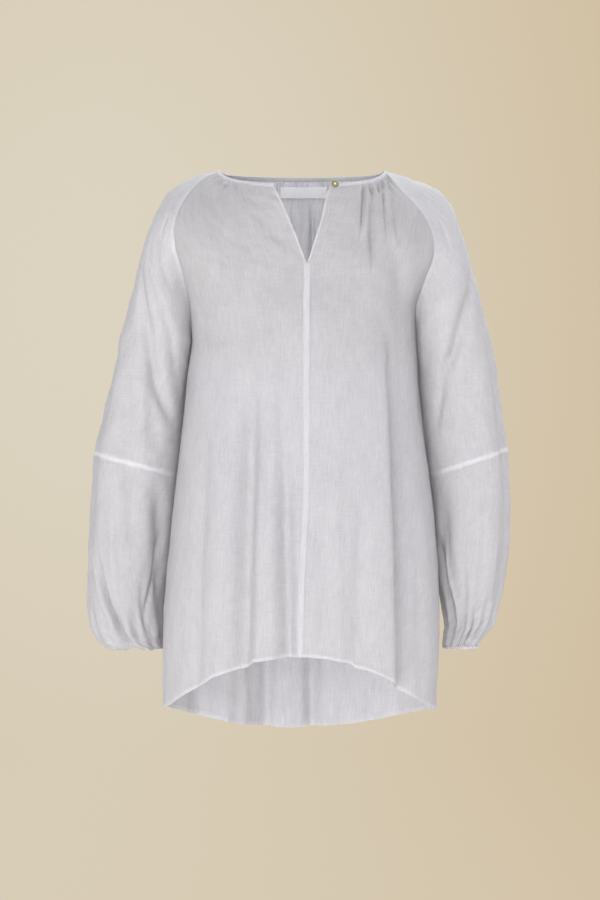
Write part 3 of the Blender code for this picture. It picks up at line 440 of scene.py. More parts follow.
def sleeve_point(side, level, share):
    """A point of a smooth sleeve, from the front seam over the outer edge to the back seam."""
    below = level >= UNDERARM
    inner = line_point(INNER[side], level)
    outer = line_point(OUTER[side], level)
    halves = []
    for face, turned in FACING.items():
        seam = either(below, inner, line_point(SEAM[face][side], level))
        hold = np.where(below, 4 / 3 * read(DEPTH[side], face, level), read(TURN[face], "hold", level))
        hold = hold[..., None]
        leave = heading(read(TURN[face], "sleeve_turn", level),
                        read(TURN[face], "sleeve_rise", level), turned)
        way = 2 * share if face == "front" else 2 - 2 * share
        halves.append(bezier(seam, seam + hold * leave, outer - turned * hold * ALONG_Y, outer,
                             np.clip(way, 0, 1)))
    return either(share < 0.5, halves[0], halves[1])


def smooth_point(piece, side, level, share):
    """A point of the cloth before its creases and gathers."""
    if piece == "sleeve":
        return sleeve_point(side, level, share)
    return body_point(piece, side, level, share)


def unit(vectors):
    """Vectors scaled to length one."""
    return vectors / np.linalg.norm(vectors, axis=-1, keepdims=True)


def directions(piece, side, level, share, step=0.001):
    """Unit directions at a point of the smooth cloth: out of it, and down along it."""
    down = (smooth_point(piece, side, level + step, share)
            - smooth_point(piece, side, level - step, share))
    across = (smooth_point(piece, side, level, share + step)
              - smooth_point(piece, side, level, share - step))
    out = np.cross(across, down) if piece == "back" else np.cross(down, across)
    return unit(out), unit(down)


def ease(value):
    """A smooth step from 0 to 1."""
    value = np.clip(value, 0, 1)
    return value * value * (3 - 2 * value)


def crease_path(level, crease):
    """Where a crease lies at each level, and how strong it is there."""
    top, end = crease["top"], crease["end"]
    s = (level - top) / (end - top)
    place = (crease["start"] * (1 - s) * (1 - 2 * s) + crease["middle"] * 4 * s * (1 - s)
             + crease["finish"] * s * (2 * s - 1))
    strength = ease((level - top) / CREASE_FADE + 0.15 * (top <= NECK))
    if end < HEM or HEM < end < WRIST:
        strength = strength * ease((end - level) / CREASE_FADE)
    return place, strength


def body_relief(face, side, level, point):
    """How far the creases move a body panel outward."""
    x = point[..., 0] * SIGN[side]
    lift = np.zeros_like(x)
    for crease in entries(BODY_CREASE, BODY_CREASES[face]):
        place, strength = crease_path(level, crease)
        away = x - place
        width = np.where(away < 0, crease["left"], crease["right"])
        lift += crease["lift"] * strength * np.exp(-(away / width) ** 2)
    return lift


def sleeve_relief(side, level, share):
    """How far the creases move a sleeve outward."""
    lift = np.zeros_like(share)
    for crease in entries(SLEEVE_CREASE, SLEEVE_CREASES[side]):
        place, strength = crease_path(level, crease)
        away = (share - place) * SLEEVE_GIRTH
        lift += crease["lift"] * strength * np.exp(-(away / crease["width"]) ** 2)
    return lift * ease(share / 0.04) * ease((1 - share) / 0.04) * ease((WRIST - level) / 0.05)


def gather_relief(piece, side, level, share):
    """How far the gathers move the cloth outward."""
    gather, = entries(GATHER, [GATHERS[piece, side]])
    s = (share - gather["start"]) / (gather["end"] - gather["start"])
    away = np.abs(level - gather["edge"]) / gather["reach"]
    fade = ease(1 - away) * (1 - gather["held"] * ease(1 - away / gather["near"]))
    return gather["lift"] * ((s >= 0) & (s <= 1)) * fade * np.sin(2 * math.pi * gather["count"] * s)


def fine_gather_relief(piece, side, level, share):
    """How far the small uneven gathers move the cloth outward."""
    gather, = entries(FINE_GATHER, [FINE_GATHERS[piece, side]])
    s = (share - gather["start"]) / (gather["end"] - gather["start"])
    turn = 2 * math.pi * s
    drift = 0.9 * np.sin(3.0 * turn + 0.7) + 0.6 * np.sin(5.0 * turn + 2.1)
    height = 0.65 + 0.35 * np.sin(4.0 * turn + 1.3)
    fade = ease(1 - np.abs(level - gather["edge"]) / gather["reach"])
    inside = ease(s / 0.05) * ease((1 - s) / 0.05)
    return gather["lift"] * height * inside * fade * np.sin(gather["count"] * turn + drift)


def uneven_relief(across, along):
    """Soft, slow unevenness of cloth that hangs, from distances across and along it."""
    lift = np.zeros_like(across)
    for wave in entries(UNEVEN, UNEVENNESS):
        places = np.stack([across / wave["across"], along / wave["along"],
                           np.full_like(across, wave["seed"])], axis=-1)
        lift += wave["lift"] * np.array([noise.noise(Vector(place)) for place in places])
    return lift


def crumple_relief(level, across, along):
    """Small crosswise crumples where the sleeve's gathers crowd into the wrist."""
    near = ease((level - 2.78) / 0.10) * ease((WRIST - level) / 0.03)
    lift = np.zeros_like(across)
    for k in np.flatnonzero(near > 0):
        place = Vector((across[k] / CRUMPLE_SIZE[0], along[k] / CRUMPLE_SIZE[1], 4.0))
        lift[k] = CRUMPLE_LIFT * near[k] * abs(noise.noise(place))
    return lift


def hem_step(x):
    """How far the front hem's own small steps raise it, by the viewer's x."""
    rise = np.zeros_like(x)
    for step in entries(HEM_STEP, HEM_STEPS):
        past = (x - step["x"]) / step["width"]
        rise += step["rise"] * np.tanh(past) * np.exp(-(past / step["reach"]) ** 2)
    return rise


def share_at(face, side, level, x):
    """The share of a body level at which the smooth cloth reaches an outward x."""
    low = np.zeros_like(level)
    high = np.ones_like(level)
    for _ in range(40):
        middle = (low + high) / 2
        short = body_point(face, side, level, middle)[..., 0] < x
        low = np.where(short, middle, low)
        high = np.where(short, high, middle)
    return (low + high) / 2


def row_starts(piece, side, levels):
    """The share at which each row of a panel starts: a front panel's follow the slit's edge."""
    if piece != "front":
        return np.zeros_like(levels)
    edge = SIGN[side] * read(SLIT_LINE, side, levels)
    return np.where(levels < SLIT_END, share_at("front", side, levels, edge), 0.0)


def lengths(points, axis):
    """Distances along a grid of points from its first row or column."""
    gaps = np.linalg.norm(np.diff(points, axis=axis), axis=-1)
    start = np.zeros_like(np.take(gaps, [0], axis=axis))
    return np.concatenate([start, np.cumsum(gaps, axis=axis)], axis=axis)


def seam_fade(piece, level, share):
    """1 in the middle of a panel and less at its seams, where neighbours have to meet."""
    fade = ease((1 - share) / 0.05)
    if piece == "sleeve":
        fade = fade * ease(share / 0.05) * ease((WRIST - level) / 0.10)
        return fade * (0.35 + 0.65 * ease(np.abs(level - FOREARM) / 0.06))
    return fade * (0.25 + 0.75 * ease(share / 0.04))


def cloth_grid(piece, side, levels, columns):
    """A panel's outer points, outward directions and distances, as grids of rows by columns."""
    starts = row_starts(piece, side, levels)[:, None]
    share = starts + (1 - starts) * columns[None, :]
    shape = share.shape
    level = np.broadcast_to(levels[:, None], shape).ravel()
    share = share.ravel()
    smooth = smooth_point(piece, side, level, share)
    out, _ = directions(piece, side, level, share)
    rows = smooth.reshape(*shape, 3)
    across = lengths(rows, 1)
    along = lengths(rows, 0)
    if piece == "sleeve":
        middle = across.shape[1] // 2
        across = across - across[:, middle:middle + 1]
    fade = seam_fade(piece, level, share)
    sideways = across.ravel() * SIGN[side] + PIECE_SEED[piece]
    if piece == "sleeve":
        lift = sleeve_relief(side, level, share)
        lift += fade * crumple_relief(level, sideways, along.ravel())
    else:
        lift = fade * body_relief(piece, side, level, smooth)
    lift += gather_relief(piece, side, level, share) + fine_gather_relief(piece, side, level, share)
    lift += fade * uneven_relief(sideways, along.ravel() + level)
    lift *= 0.12 + 0.88 * ease(level / 0.035)   # the binding holds the neckline
    point = smooth + lift[:, None] * out
    if piece == "front":
        near_hem = ease((level - HEM_STEP_TOP) / (HEM - HEM_STEP_TOP))
        point[:, 2] += hem_step(point[:, 0] * SIGN[side]) * near_hem
    return SimpleNamespace(point=point.reshape(*shape, 3), out=out.reshape(*shape, 3),
                           level=level.reshape(shape), across=across, along=along)


def mesh_object(name, points, faces, maps=None):
    """A smooth object from points and faces, with maps of two values a point as UV layers."""
    mesh = bpy.data.meshes.new(name)
    mesh.from_pydata([tuple(point) for point in points], [], faces)
    corner = np.empty(len(mesh.loops), np.int32)
    mesh.loops.foreach_get("vertex_index", corner)
    for title, values in (maps or {}).items():
        layer = mesh.uv_layers.new(name=title)
        layer.data.foreach_set("uv", np.asarray(values, np.float32)[corner].ravel())
    form = bmesh.new()
    form.from_mesh(mesh)
    bmesh.ops.recalc_face_normals(form, faces=form.faces)
    form.to_mesh(mesh)
    form.free()
    mesh.shade_smooth()
    mesh.set_sharp_from_angle(angle=math.radians(55))
    thing = bpy.data.objects.new(name, mesh)
    bpy.context.scene.collection.objects.link(thing)
    return thing


def shell(name, outer, inner, grain, edge=None, side="right", closed=False):
    """A thin closed shell between two grids of points, wrapped round if it is a closed ring.

    grain maps the distances across and along the weave, and edge how near a doubled edge is.
    """
    rows, columns = outer.shape[:2]
    index = np.arange(rows * columns).reshape(rows, columns)
    if closed:
        index = np.concatenate([index, index[:, :1]], axis=1)
    quads = np.stack([index[:-1, :-1], index[1:, :-1], index[1:, 1:], index[:-1, 1:]], axis=-1)
    quads = quads.reshape(-1, 4)
    back = quads[:, ::-1] + rows * columns
    edges = [index[0], index[-1][::-1]]
    if not closed:
        edges += [index[::-1, 0], index[:, -1]]
    rims = []
    for line in edges:
        a, b = line[:-1], line[1:]
        rims.append(np.stack([a, b, b + rows * columns, a + rows * columns], axis=-1))
    faces = np.concatenate([quads, back] + rims).tolist()
    points = np.concatenate([outer.reshape(-1, 3), inner.reshape(-1, 3)]) * MIRROR[side]
    maps = {"grain": grain, "edge": np.zeros_like(grain) if edge is None else edge}
    doubled = {title: np.concatenate([grid.reshape(-1, 2)] * 2) for title, grid in maps.items()}
    return mesh_object(name, points, faces, doubled)


def steps(*runs):
    """Values from runs of (start, end, number of steps) that follow one another."""
    parts = [np.linspace(start, end, count + 1)[:-1] for start, end, count in runs]
    return np.concatenate(parts + [[runs[-1][1]]])


def contour(outer, out, measure, value, axis):
    """Points and directions of a grid where a measure reaches a value, one for each row or column."""
    if axis == 0:
        outer, out, measure = outer.swapaxes(0, 1), out.swapaxes(0, 1), measure.T
    points, ways = [], []
    for line, way, distance in zip(outer, out, measure):
        order = np.argsort(distance)
        points.append([np.interp(value, distance[order], line[order, k]) for k in range(3)])
        ways.append([np.interp(value, distance[order], way[order, k]) for k in range(3)])
    return np.array(points), unit(np.array(ways))


def ring_faces(rings, count):
    """Faces along rings of count points each, with a cap at both ends."""
    faces = [(k * count + i, k * count + (i + 1) % count, (k + 1) * count + (i + 1) % count,
              (k + 1) * count + i) for k in range(rings - 1) for i in range(count)]
    return faces + [tuple(range(count)), tuple(range((rings - 1) * count, rings * count))]


STITCH_PROFILE = ((0.0, 0.35), (0.2, 1.0), (0.8, 1.0), (1.0, 0.35))   # along it, and its width


def stitching(name, runs, side="right"):
    """Thread stitches along runs of points on the cloth, each a short bar with tapered ends."""
    points = []
    shares, sizes = np.array(STITCH_PROFILE).T
    for line, way in runs:
        length = np.concatenate([[0], np.cumsum(np.linalg.norm(np.diff(line, axis=0), axis=1))])
        starts = np.arange(0.0, length[-1] - STITCH, STITCH + STITCH_GAP)
        places = starts[:, None] + STITCH * shares
        middle, out, ahead = (
            np.stack([np.interp(places, length, grid[:, k]) for k in range(3)], axis=-1)
            for grid in (line, way, np.gradient(line, axis=0)))
        across = unit(np.cross(out, ahead))
        width = 0.5 * THREAD * sizes[:, None]
        corners = [middle + width * (math.cos(turn) * across + math.sin(turn) * out)
                   for turn in math.pi * np.array([0.25, 0.75, 1.25, 1.75])]
        points.append(np.stack(corners, axis=2).reshape(-1, 3))
    points = np.concatenate(points) * MIRROR[side]
    bar = np.array(ring_faces(4, 4))
    firsts = np.arange(0, len(points), 16)
    return mesh_object(name, points, (firsts[:, None, None] + bar).reshape(-1, 4).tolist())


def sheet(piece):
    """Return a piece as it is."""
    return piece


BODY_LEVELS = steps((NECK, 0.24, 26), (0.24, UNDERARM, 40), (UNDERARM, HEM_TOP - 0.001, 66),
                    (HEM_TOP - 0.001, HEM_TOP + 0.001, 1), (HEM_TOP + 0.001, HEM, 3))
BODY_COLUMNS = {"front": steps((0.0, 0.4, 56), (0.4, 1.0, 124)),
                "back": steps((0.0, 0.55, 120), (0.55, 1.0, 50))}
UPPER_LEVELS = steps((NECK, UNDERARM, 52), (UNDERARM, FOREARM, 66))
UPPER_COLUMNS = steps((0.0, 1.0, 140))
LOWER_LEVELS = steps((FOREARM, 2.60, 40), (2.60, 2.90, 34), (2.90, WRIST, 22))
LOWER_COLUMNS = steps((0.0, 1.0, 252))


def panel(name, side, grid, outer, thick, edges, runs, drop=0.0):
    """A panel and its stitching, from its grid, outer face, thickness and nearness to its edges."""
    grain = np.stack([grid.across * SIGN[side], -grid.along - drop], axis=-1)
    inner = outer - thick * grid.out
    cloth = shell(f"shell_{name}_{side}", outer, inner, grain, np.stack(edges, axis=-1), side)
    seams = stitching(f"stitches_{name}_{side}", runs, side)
    return sheet(cloth), seams


def body_panel(face, side):
    """A half front or half back: one layer of linen, doubled at its hem, seams and slit."""
    grid = cloth_grid(face, side, BODY_LEVELS, BODY_COLUMNS[face])
    from_hem = grid.along[-1:] - grid.along
    from_seam = grid.across[:, -1:] - grid.across
    slit = np.where((grid.level < SLIT_END + 0.01) & (face == "front"), grid.across / SLIT_ROLL, 9.0)
    seam = np.where((grid.level > UNDERARM) & (face == "back"), from_seam / SIDE_FELL, 9.0)
    fold = (grid.level >= HEM_TOP).astype(float)
    roll = np.clip(1.3 - slit, 0, 1)
    outer = grid.point + ((0.45 * fold + 0.5 * roll) * ALLOWANCE)[..., None] * grid.out
    thick = (LINEN + (0.9 * fold + 0.9 * roll) * ALLOWANCE)[..., None]
    edges = [np.minimum(slit, np.maximum(seam, SIDE_SHOW)), np.maximum(from_hem / HEM_FOLD, HEM_SHOW)]
    if face == "front":
        rows, measure, reach = BODY_LEVELS < SLIT_END - 0.02, grid.across, 0.75 * SLIT_ROLL
    else:
        rows, measure, reach = BODY_LEVELS > UNDERARM, from_seam, 0.85 * SIDE_FELL
    runs = [contour(outer, grid.out, from_hem, 0.8 * HEM_FOLD, 0),
            contour(outer[rows], grid.out[rows], measure[rows], reach, 1)]
    return panel(face, side, grid, outer, thick, edges, runs)


def upper_sleeve(side):
    """A raglan sleeve down to the forearm seam, with a felled allowance beside its body seams."""
    grid = cloth_grid("sleeve", side, UPPER_LEVELS, UPPER_COLUMNS)
    front = grid.across - grid.across[:, :1]
    back = grid.across[:, -1:] - grid.across
    fell = np.minimum(front, back) / np.where(grid.level < UNDERARM, RAGLAN_FELL, SIDE_FELL)
    from_end = grid.along[-1:] - grid.along
    raised = 0.5 * ALLOWANCE * np.clip(1.15 - fell, 0, 0.6)
    outer = grid.point + raised[..., None] * grid.out * ease((FOREARM - grid.level) / 0.02)[..., None]
    edges = [np.maximum(fell, RAGLAN_SHOW), from_end / (0.35 * FOREARM_FELL)]
    head = UPPER_LEVELS < UNDERARM
    runs = [contour(outer[head], grid.out[head], edge[head], 0.85 * RAGLAN_FELL, 1)
            for edge in (front, back)]
    return panel("upper_sleeve", side, grid, outer, LINEN, edges, runs)


def lower_sleeve(side):
    """A full forearm piece, gathered into the wrist, with the felled forearm seam at its top."""
    grid = cloth_grid("sleeve", side, LOWER_LEVELS, LOWER_COLUMNS)
    around = np.minimum(grid.across - grid.across[:, :1], grid.across[:, -1:] - grid.across)
    from_top = grid.along / FOREARM_FELL
    raised = ALLOWANCE * np.clip(1.1 - from_top, 0, 0.5)
    outer = grid.point + raised[..., None] * grid.out
    edges = [np.maximum(around / SIDE_FELL, SIDE_SHOW), from_top]
    runs = [contour(outer, grid.out, grid.along, 0.85 * FOREARM_FELL, 0)]
    return panel("lower_sleeve", side, grid, outer, LINEN, edges, runs,
                 drop=LOWER_GRAIN)


def cuff(side):
    """The elastic casing at the wrist: a narrow puckered ring."""
    shares = steps((0.0, 1.0, 240))[:-1]
    ring = sleeve_point(side, np.full(len(shares), WRIST), shares)
    centre = (ring.min(axis=0) + ring.max(axis=0)) / 2
    spoke = unit((ring - centre) * (OUTWARD + ALONG_Y))
    turn = 2 * math.pi * shares
    pucker = 0.00035 * np.sin(29 * turn + 0.9 * np.sin(4 * turn)) + 0.0002 * np.sin(13 * turn)
    outer, inner, grain = [], [], []
    for s in np.linspace(0, 1, 11):
        bulge = 0.0007 * math.sin(math.pi * s) - 0.0008
        height = -(0.0001 + 1.02 * CUFF_HEIGHT * s) + 0.0003 * np.sin(9 * turn + 1.0) * s
        edge = ring + (bulge + pucker)[:, None] * spoke + height[:, None] * UP
        outer.append(edge)
        inner.append(edge - (0.0009 + 0.0012 * math.sin(math.pi * s)) * spoke)
        grain.append(np.stack([shares * CUFF_GIRTH, np.full_like(shares, -s * CUFF_HEIGHT)], axis=-1))
    outer = np.array(outer)
    casing = shell(f"casing_{side}", outer, np.array(inner), np.array(grain), side=side, closed=True)
    return sheet(casing)


def neck_edge(piece, side, share):
    """A point of the panels' neckline, with the directions out of the cloth and up from it."""
    level = np.zeros_like(share)
    out, down = directions(piece, side, level, share)
    return (smooth_point(piece, side, level, share) * MIRROR[side], out * MIRROR[side],
            -down * MIRROR[side])


def front_start(side):
    """The share at which the slit's edge meets the neckline."""
    return float(row_starts("front", side, np.array([NECK]))[0])


def neck_run(count):
    """The whole neckline from the slit's left corner round the back to its right corner."""
    front = {side: np.linspace(front_start(side), 1.0, 3 * count + 1) for side in SIGN}
    sleeve = np.linspace(0.0, 1.0, count)
    back = np.linspace(1.0, 0.0, 3 * count)
    parts = [neck_edge("front", "left", front["left"]), neck_edge("sleeve", "left", sleeve[1:]),
             neck_edge("back", "left", back[1:]), neck_edge("back", "right", back[-2::-1]),
             neck_edge("sleeve", "right", sleeve[-2::-1]),
             neck_edge("front", "right", front["right"][-2::-1])]
    return [np.concatenate(group) for group in zip(*parts)]


def neck_binding():
    """The narrow bias strip round the neckline, softly rounded and slightly puckered."""
    edge, out, up = neck_run(36)
    run = np.concatenate([[0], np.cumsum(np.linalg.norm(np.diff(edge, axis=0), axis=1))])
    pucker = 0.00018 * np.sin(2 * math.pi * run / 0.0046) + 0.00015 * np.sin(run / 0.0041)
    outer, inner, flat = [], [], []
    for s in np.linspace(0, 1, 10):
        height = -0.0012 + (BINDING_HEIGHT + 0.0012) * s
        half = 0.5 * BINDING_CLOTH * (0.42 + 0.45 * math.sin(math.pi * min(0.12 + 0.88 * s, 1.0)))
        middle = edge - 0.5 * CLOTH * out + height * up
        outer.append(middle + (half + pucker)[:, None] * out)
        inner.append(middle - half * out)
        flat.append(np.stack([run, np.full_like(run, height)], axis=-1))
    flat, outer = np.array(flat), np.array(outer)
    binding = shell("neck_bias_strip", outer, np.array(inner), flat[..., ::-1] * 0.7 + flat * 0.7)
    return sheet(binding)


def strip_grid(face, levels, offsets):
    """Points and directions on the creased panels beside a centre seam, at offsets across it."""
    rows, outs = [], []
    for offset in offsets:
        side = "left" if offset < 0 else "right"
        centre = line_point(CENTRE[face], levels)[..., 0] * SIGN[side]
        share = share_at(face, side, levels, centre + abs(offset))
        smooth = smooth_point(face, side, levels, share)
        out, _ = directions(face, side, levels, share)
        lift = seam_fade(face, levels, share) * body_relief(face, side, levels, smooth)
        rows.append((smooth + lift[:, None] * out) * MIRROR[side])
        outs.append(out * MIRROR[side])
    return np.stack(rows, axis=1), np.stack(outs, axis=1)


def strip(name, outer, inner, offsets, along):
    """A folded strip that lies along a seam."""
    grain = np.stack([np.broadcast_to(offsets, along.shape), -along], axis=-1)
    return sheet(shell(name, outer, inner, grain))


def front_seam_band():
    """The felled strip over the centre front seam, raised a little towards its stitched sides."""
    offsets = np.array([-1.0, -0.97, -0.82, -0.66, -0.4, -0.08, 0.08, 0.4, 0.66, 0.82, 0.97, 1.0])
    rise = np.array([0.15, 0.75, 0.62, 0.95, 1.05, 1.0, 1.0, 1.05, 0.95, 0.62, 0.75, 0.15]) * 0.0007
    offsets *= 0.5 * BAND_WIDTH
    point, out = strip_grid("front", steps((SLIT_END - 0.004, UNDERARM, 40), (UNDERARM, HEM, 90)),
                            offsets)
    taper = np.linspace(1.0, 0.82, len(point))[:, None, None]
    middle = point.mean(axis=1, keepdims=True)
    point = middle + (point - middle) * taper
    along = lengths(point, 0)
    ripple = 0.00012 * np.sin(2 * math.pi * along / 0.0085)
    outer = point + (0.0002 + rise[None, :, None] + ripple[..., None]) * out
    return strip("front_strip", outer, point + 0.0001 * out, offsets, along)


def back_seam():
    """The centre back seam's allowance, a narrow doubled strip inside down to the hem."""
    offsets = BACK_ALLOWANCE * np.array([-1.0, -0.96, -0.5, 0.0, 0.5, 0.96, 1.0])
    rise = 0.0006 * np.array([0.2, 0.9, 1.0, 0.3, 1.0, 0.9, 0.2])
    point, out = strip_grid("back", steps((ALLOWANCE_TOP, UNDERARM, 40),
                                          (UNDERARM, HEM - 0.004, 90)), offsets)
    behind = point - 1.2 * LINEN * out
    return strip("back_allowance", behind - rise[None, :, None] * out, behind, offsets,
                 lengths(point, 0))


def back_place(drop, x):
    """A point of the smooth back at a distance below the neckline, and its outward direction."""
    slope = line_point(CENTRE["back"], np.array([0.0, 0.15]))
    level = np.full(np.shape(x), drop * 0.15 / np.linalg.norm(slope[1] - slope[0]))
    side = "left" if np.mean(x) < 0 else "right"
    share = share_at("back", side, level, np.abs(x))
    out, _ = directions("back", side, level, share)
    return body_point("back", side, level, share) * MIRROR[side], out * MIRROR[side]


def neck_label():
    """A bare woven label: turned-in ends, a slight sag between its stitched ends."""
    outer, inner = [], []
    for row in np.linspace(0, 1, 12):
        front, behind = [], []
        for s in steps((0.0, 0.06, 4), (0.06, 0.94, 40), (0.94, 1.0, 4)):
            x = LABEL_SHIFT + (s - 0.5) * LABEL_WIDTH + 0.0003 * math.sin(19 * row + 6 * s)
            point, out = back_place(LABEL_DROP + LABEL_HEIGHT * row, np.array([x]))
            turned = 0.5 * ALLOWANCE * (min(s, 1 - s) < 0.055)
            sag = 0.0007 * math.sin(math.pi * s) ** 2 * (1 + 0.3 * math.sin(5 * s + 1))
            face = point[0] - (LABEL_STAND + sag + turned) * out[0]
            front.append(face - LABEL_CLOTH * out[0])
            behind.append(face)
        outer.append(front)
        inner.append(behind)
    outer, inner = np.array(outer), np.array(inner)
    grain = np.stack([lengths(outer, 1), -lengths(outer, 0)], axis=-1)
    label = shell("woven_label", outer, inner, grain)
    out = unit(outer - inner)
    seams = stitching("stitches_label", [(outer[1:-1, k], out[1:-1, k]) for k in (3, -4)])
    return sheet(label), seams


def corner_place(side, share, rise, lift):
    """A place on the binding at a slit corner, with directions out, across and up."""
    edge, out, up = neck_edge("front", side, np.array([share]))
    seat = edge[0] + rise * up[0] + lift * out[0]
    across = unit(np.cross(out[0], UP))
    return seat, out[0], across, np.cross(across, out[0])


def spokes(count, first, second):
    """Directions all round, from two that stand square to each other."""
    turns = np.linspace(0, 2 * math.pi, count + 1)[:-1]
    return np.outer(np.cos(turns), first) + np.outer(np.sin(turns), second)


def lathe(name, seat, out, across, along, profile, count=40):
    """A closed turned piece on a seat, from (radius, height) pairs."""
    round_it = spokes(count, across, along)
    points = [point for radius, height in profile
              for point in seat + height * out + radius * round_it]
    return mesh_object(name, points, ring_faces(len(profile), count))


def thread_piece(name, path, radius, out, sides=8):
    """A round thread along a path of points."""
    ahead = unit(np.gradient(path, axis=0))
    second = unit(np.cross(ahead, out))
    third = np.cross(ahead, second)
    points = [point for place, a, b in zip(path, second, third)
              for point in place + radius * spokes(sides, a, b)]
    return mesh_object(name, points, ring_faces(len(path), sides))


# The button's rings as (share of its radius, share of its thickness)
BUTTON_RIM = [(0.80, 0.0), (0.95, 0.12), (1.0, 0.35), (1.0, 0.62), (0.96, 0.84), (0.88, 0.97),
              (0.80, 0.98), (0.72, 0.88), (0.66, 0.66), (0.60, 0.58), (0.30, 0.54), (0.05, 0.53)]
BUTTON_DISH = [(0.55, 0.545), (0.56, 0.60), (0.50, 0.62), (0.20, 0.59), (0.02, 0.585)]
# Each hole is a small disc just above the dish, made near-black as painted shade.
BUTTON_HOLE = [(0.105, 0.50), (0.105, 0.635), (0.09, 0.64)]
HOLE_SPREAD = 0.23
SEWING_THREAD = 0.0005


def button():
    """A shell button with a raised rim and four holes, each a near-black disc of painted shade, sewn on
    with a cross of thread.
    """
    seat, out, across, along = corner_place(
        "right", BUTTON_SHARE, BINDING_HEIGHT / 2, (BINDING_CLOTH - CLOTH) / 2 + SEAM_GAP)

    def turned(name, place, rings, count=40):
        profile = [(r * BUTTON_RADIUS, h * BUTTON_THICKNESS) for r, h in rings]
        return lathe(name, place, out, across, along, profile, count)

    rim = turned("button_shell", seat, BUTTON_RIM)
    dish = turned("button_dish", seat, BUTTON_DISH)
    corners = [seat + HOLE_SPREAD * BUTTON_RADIUS * (a * across + b * along)
               for a, b in ((1, 1), (-1, 1), (-1, -1), (1, -1))]
    holes = [turned(f"button_hole_{k}", corner, BUTTON_HOLE, 14) for k, corner in enumerate(corners)]
    threads = []
    for k in range(2):
        path = []
        for s in np.linspace(0, 1, 9):
            bow = (0.66 + 0.14 * math.sin(math.pi * s) ** 0.5 + 0.06 * k) * BUTTON_THICKNESS
            path.append((1 - s) * corners[k] + s * corners[k + 2] + bow * out)
        threads.append(thread_piece(f"button_thread_{k}", np.array(path), SEWING_THREAD, out))
    return rim, dish, holes, threads


def button_loop():
    """A corded thread loop folded back behind the slit's left corner."""
    seat, out, across, along = corner_place(
        "left", front_start("left"), -LOOP_DROP, -(CLOTH + 2 * SEAM_GAP + LOOP_THREAD / 2))
    across = -across if across[0] > 0 else across
    along = -along if along[2] < 0 else along
    half = LOOP_WIDTH / 2
    path = [seat + half * along]
    for turn in np.linspace(0, math.pi, 25):
        path.append(seat + (LOOP_LENGTH + half * math.sin(turn)) * across
                    + half * math.cos(turn) * along)
    path.append(seat - half * along)
    return thread_piece("loop_cord", np.array(path), 0.45 * LOOP_THREAD, out, 12)


def fill(tree, made, sockets):
    """Give a node's input sockets their values, or links from other nodes' outputs."""
    for key, value in sockets.items():
        if isinstance(value, bpy.types.NodeSocket):
            tree.links.new(value, made.inputs[key])
        else:
            made.inputs[key].default_value = value


def node(tree, kind, sockets=None, **settings):
    """A new shader node with its settings and input sockets."""
    made = tree.nodes.new(f"ShaderNode{kind}")
    for key, value in settings.items():
        setattr(made, key, value)
    fill(tree, made, sockets or {})
    return made


def smooth_range(tree, value, low=0.0, high=1.0):
    """An output that goes smoothly from 0 to 1 as a value goes from low to high."""
    sockets = {"Value": value, "From Min": low, "From Max": high}
    return node(tree, "MapRange", sockets, interpolation_type="SMOOTHSTEP").outputs[0]


def blend(tree, share, first, second):
    """The output of a mix of two colours."""
    sockets = {0: share, 6: (*first, 1.0), 7: (*second, 1.0)}
    return node(tree, "Mix", sockets, data_type="RGBA").outputs[2]


def material(name, **sockets):
    """A new material, its node tree and its shader, with values for the shader's sockets."""
    paint = bpy.data.materials.new(name)
    paint.use_nodes = True
    tree = paint.node_tree
    shader = tree.nodes["Principled BSDF"]
    fill(tree, shader, {key.replace("_", " "): value for key, value in sockets.items()})
    return paint, tree, shader


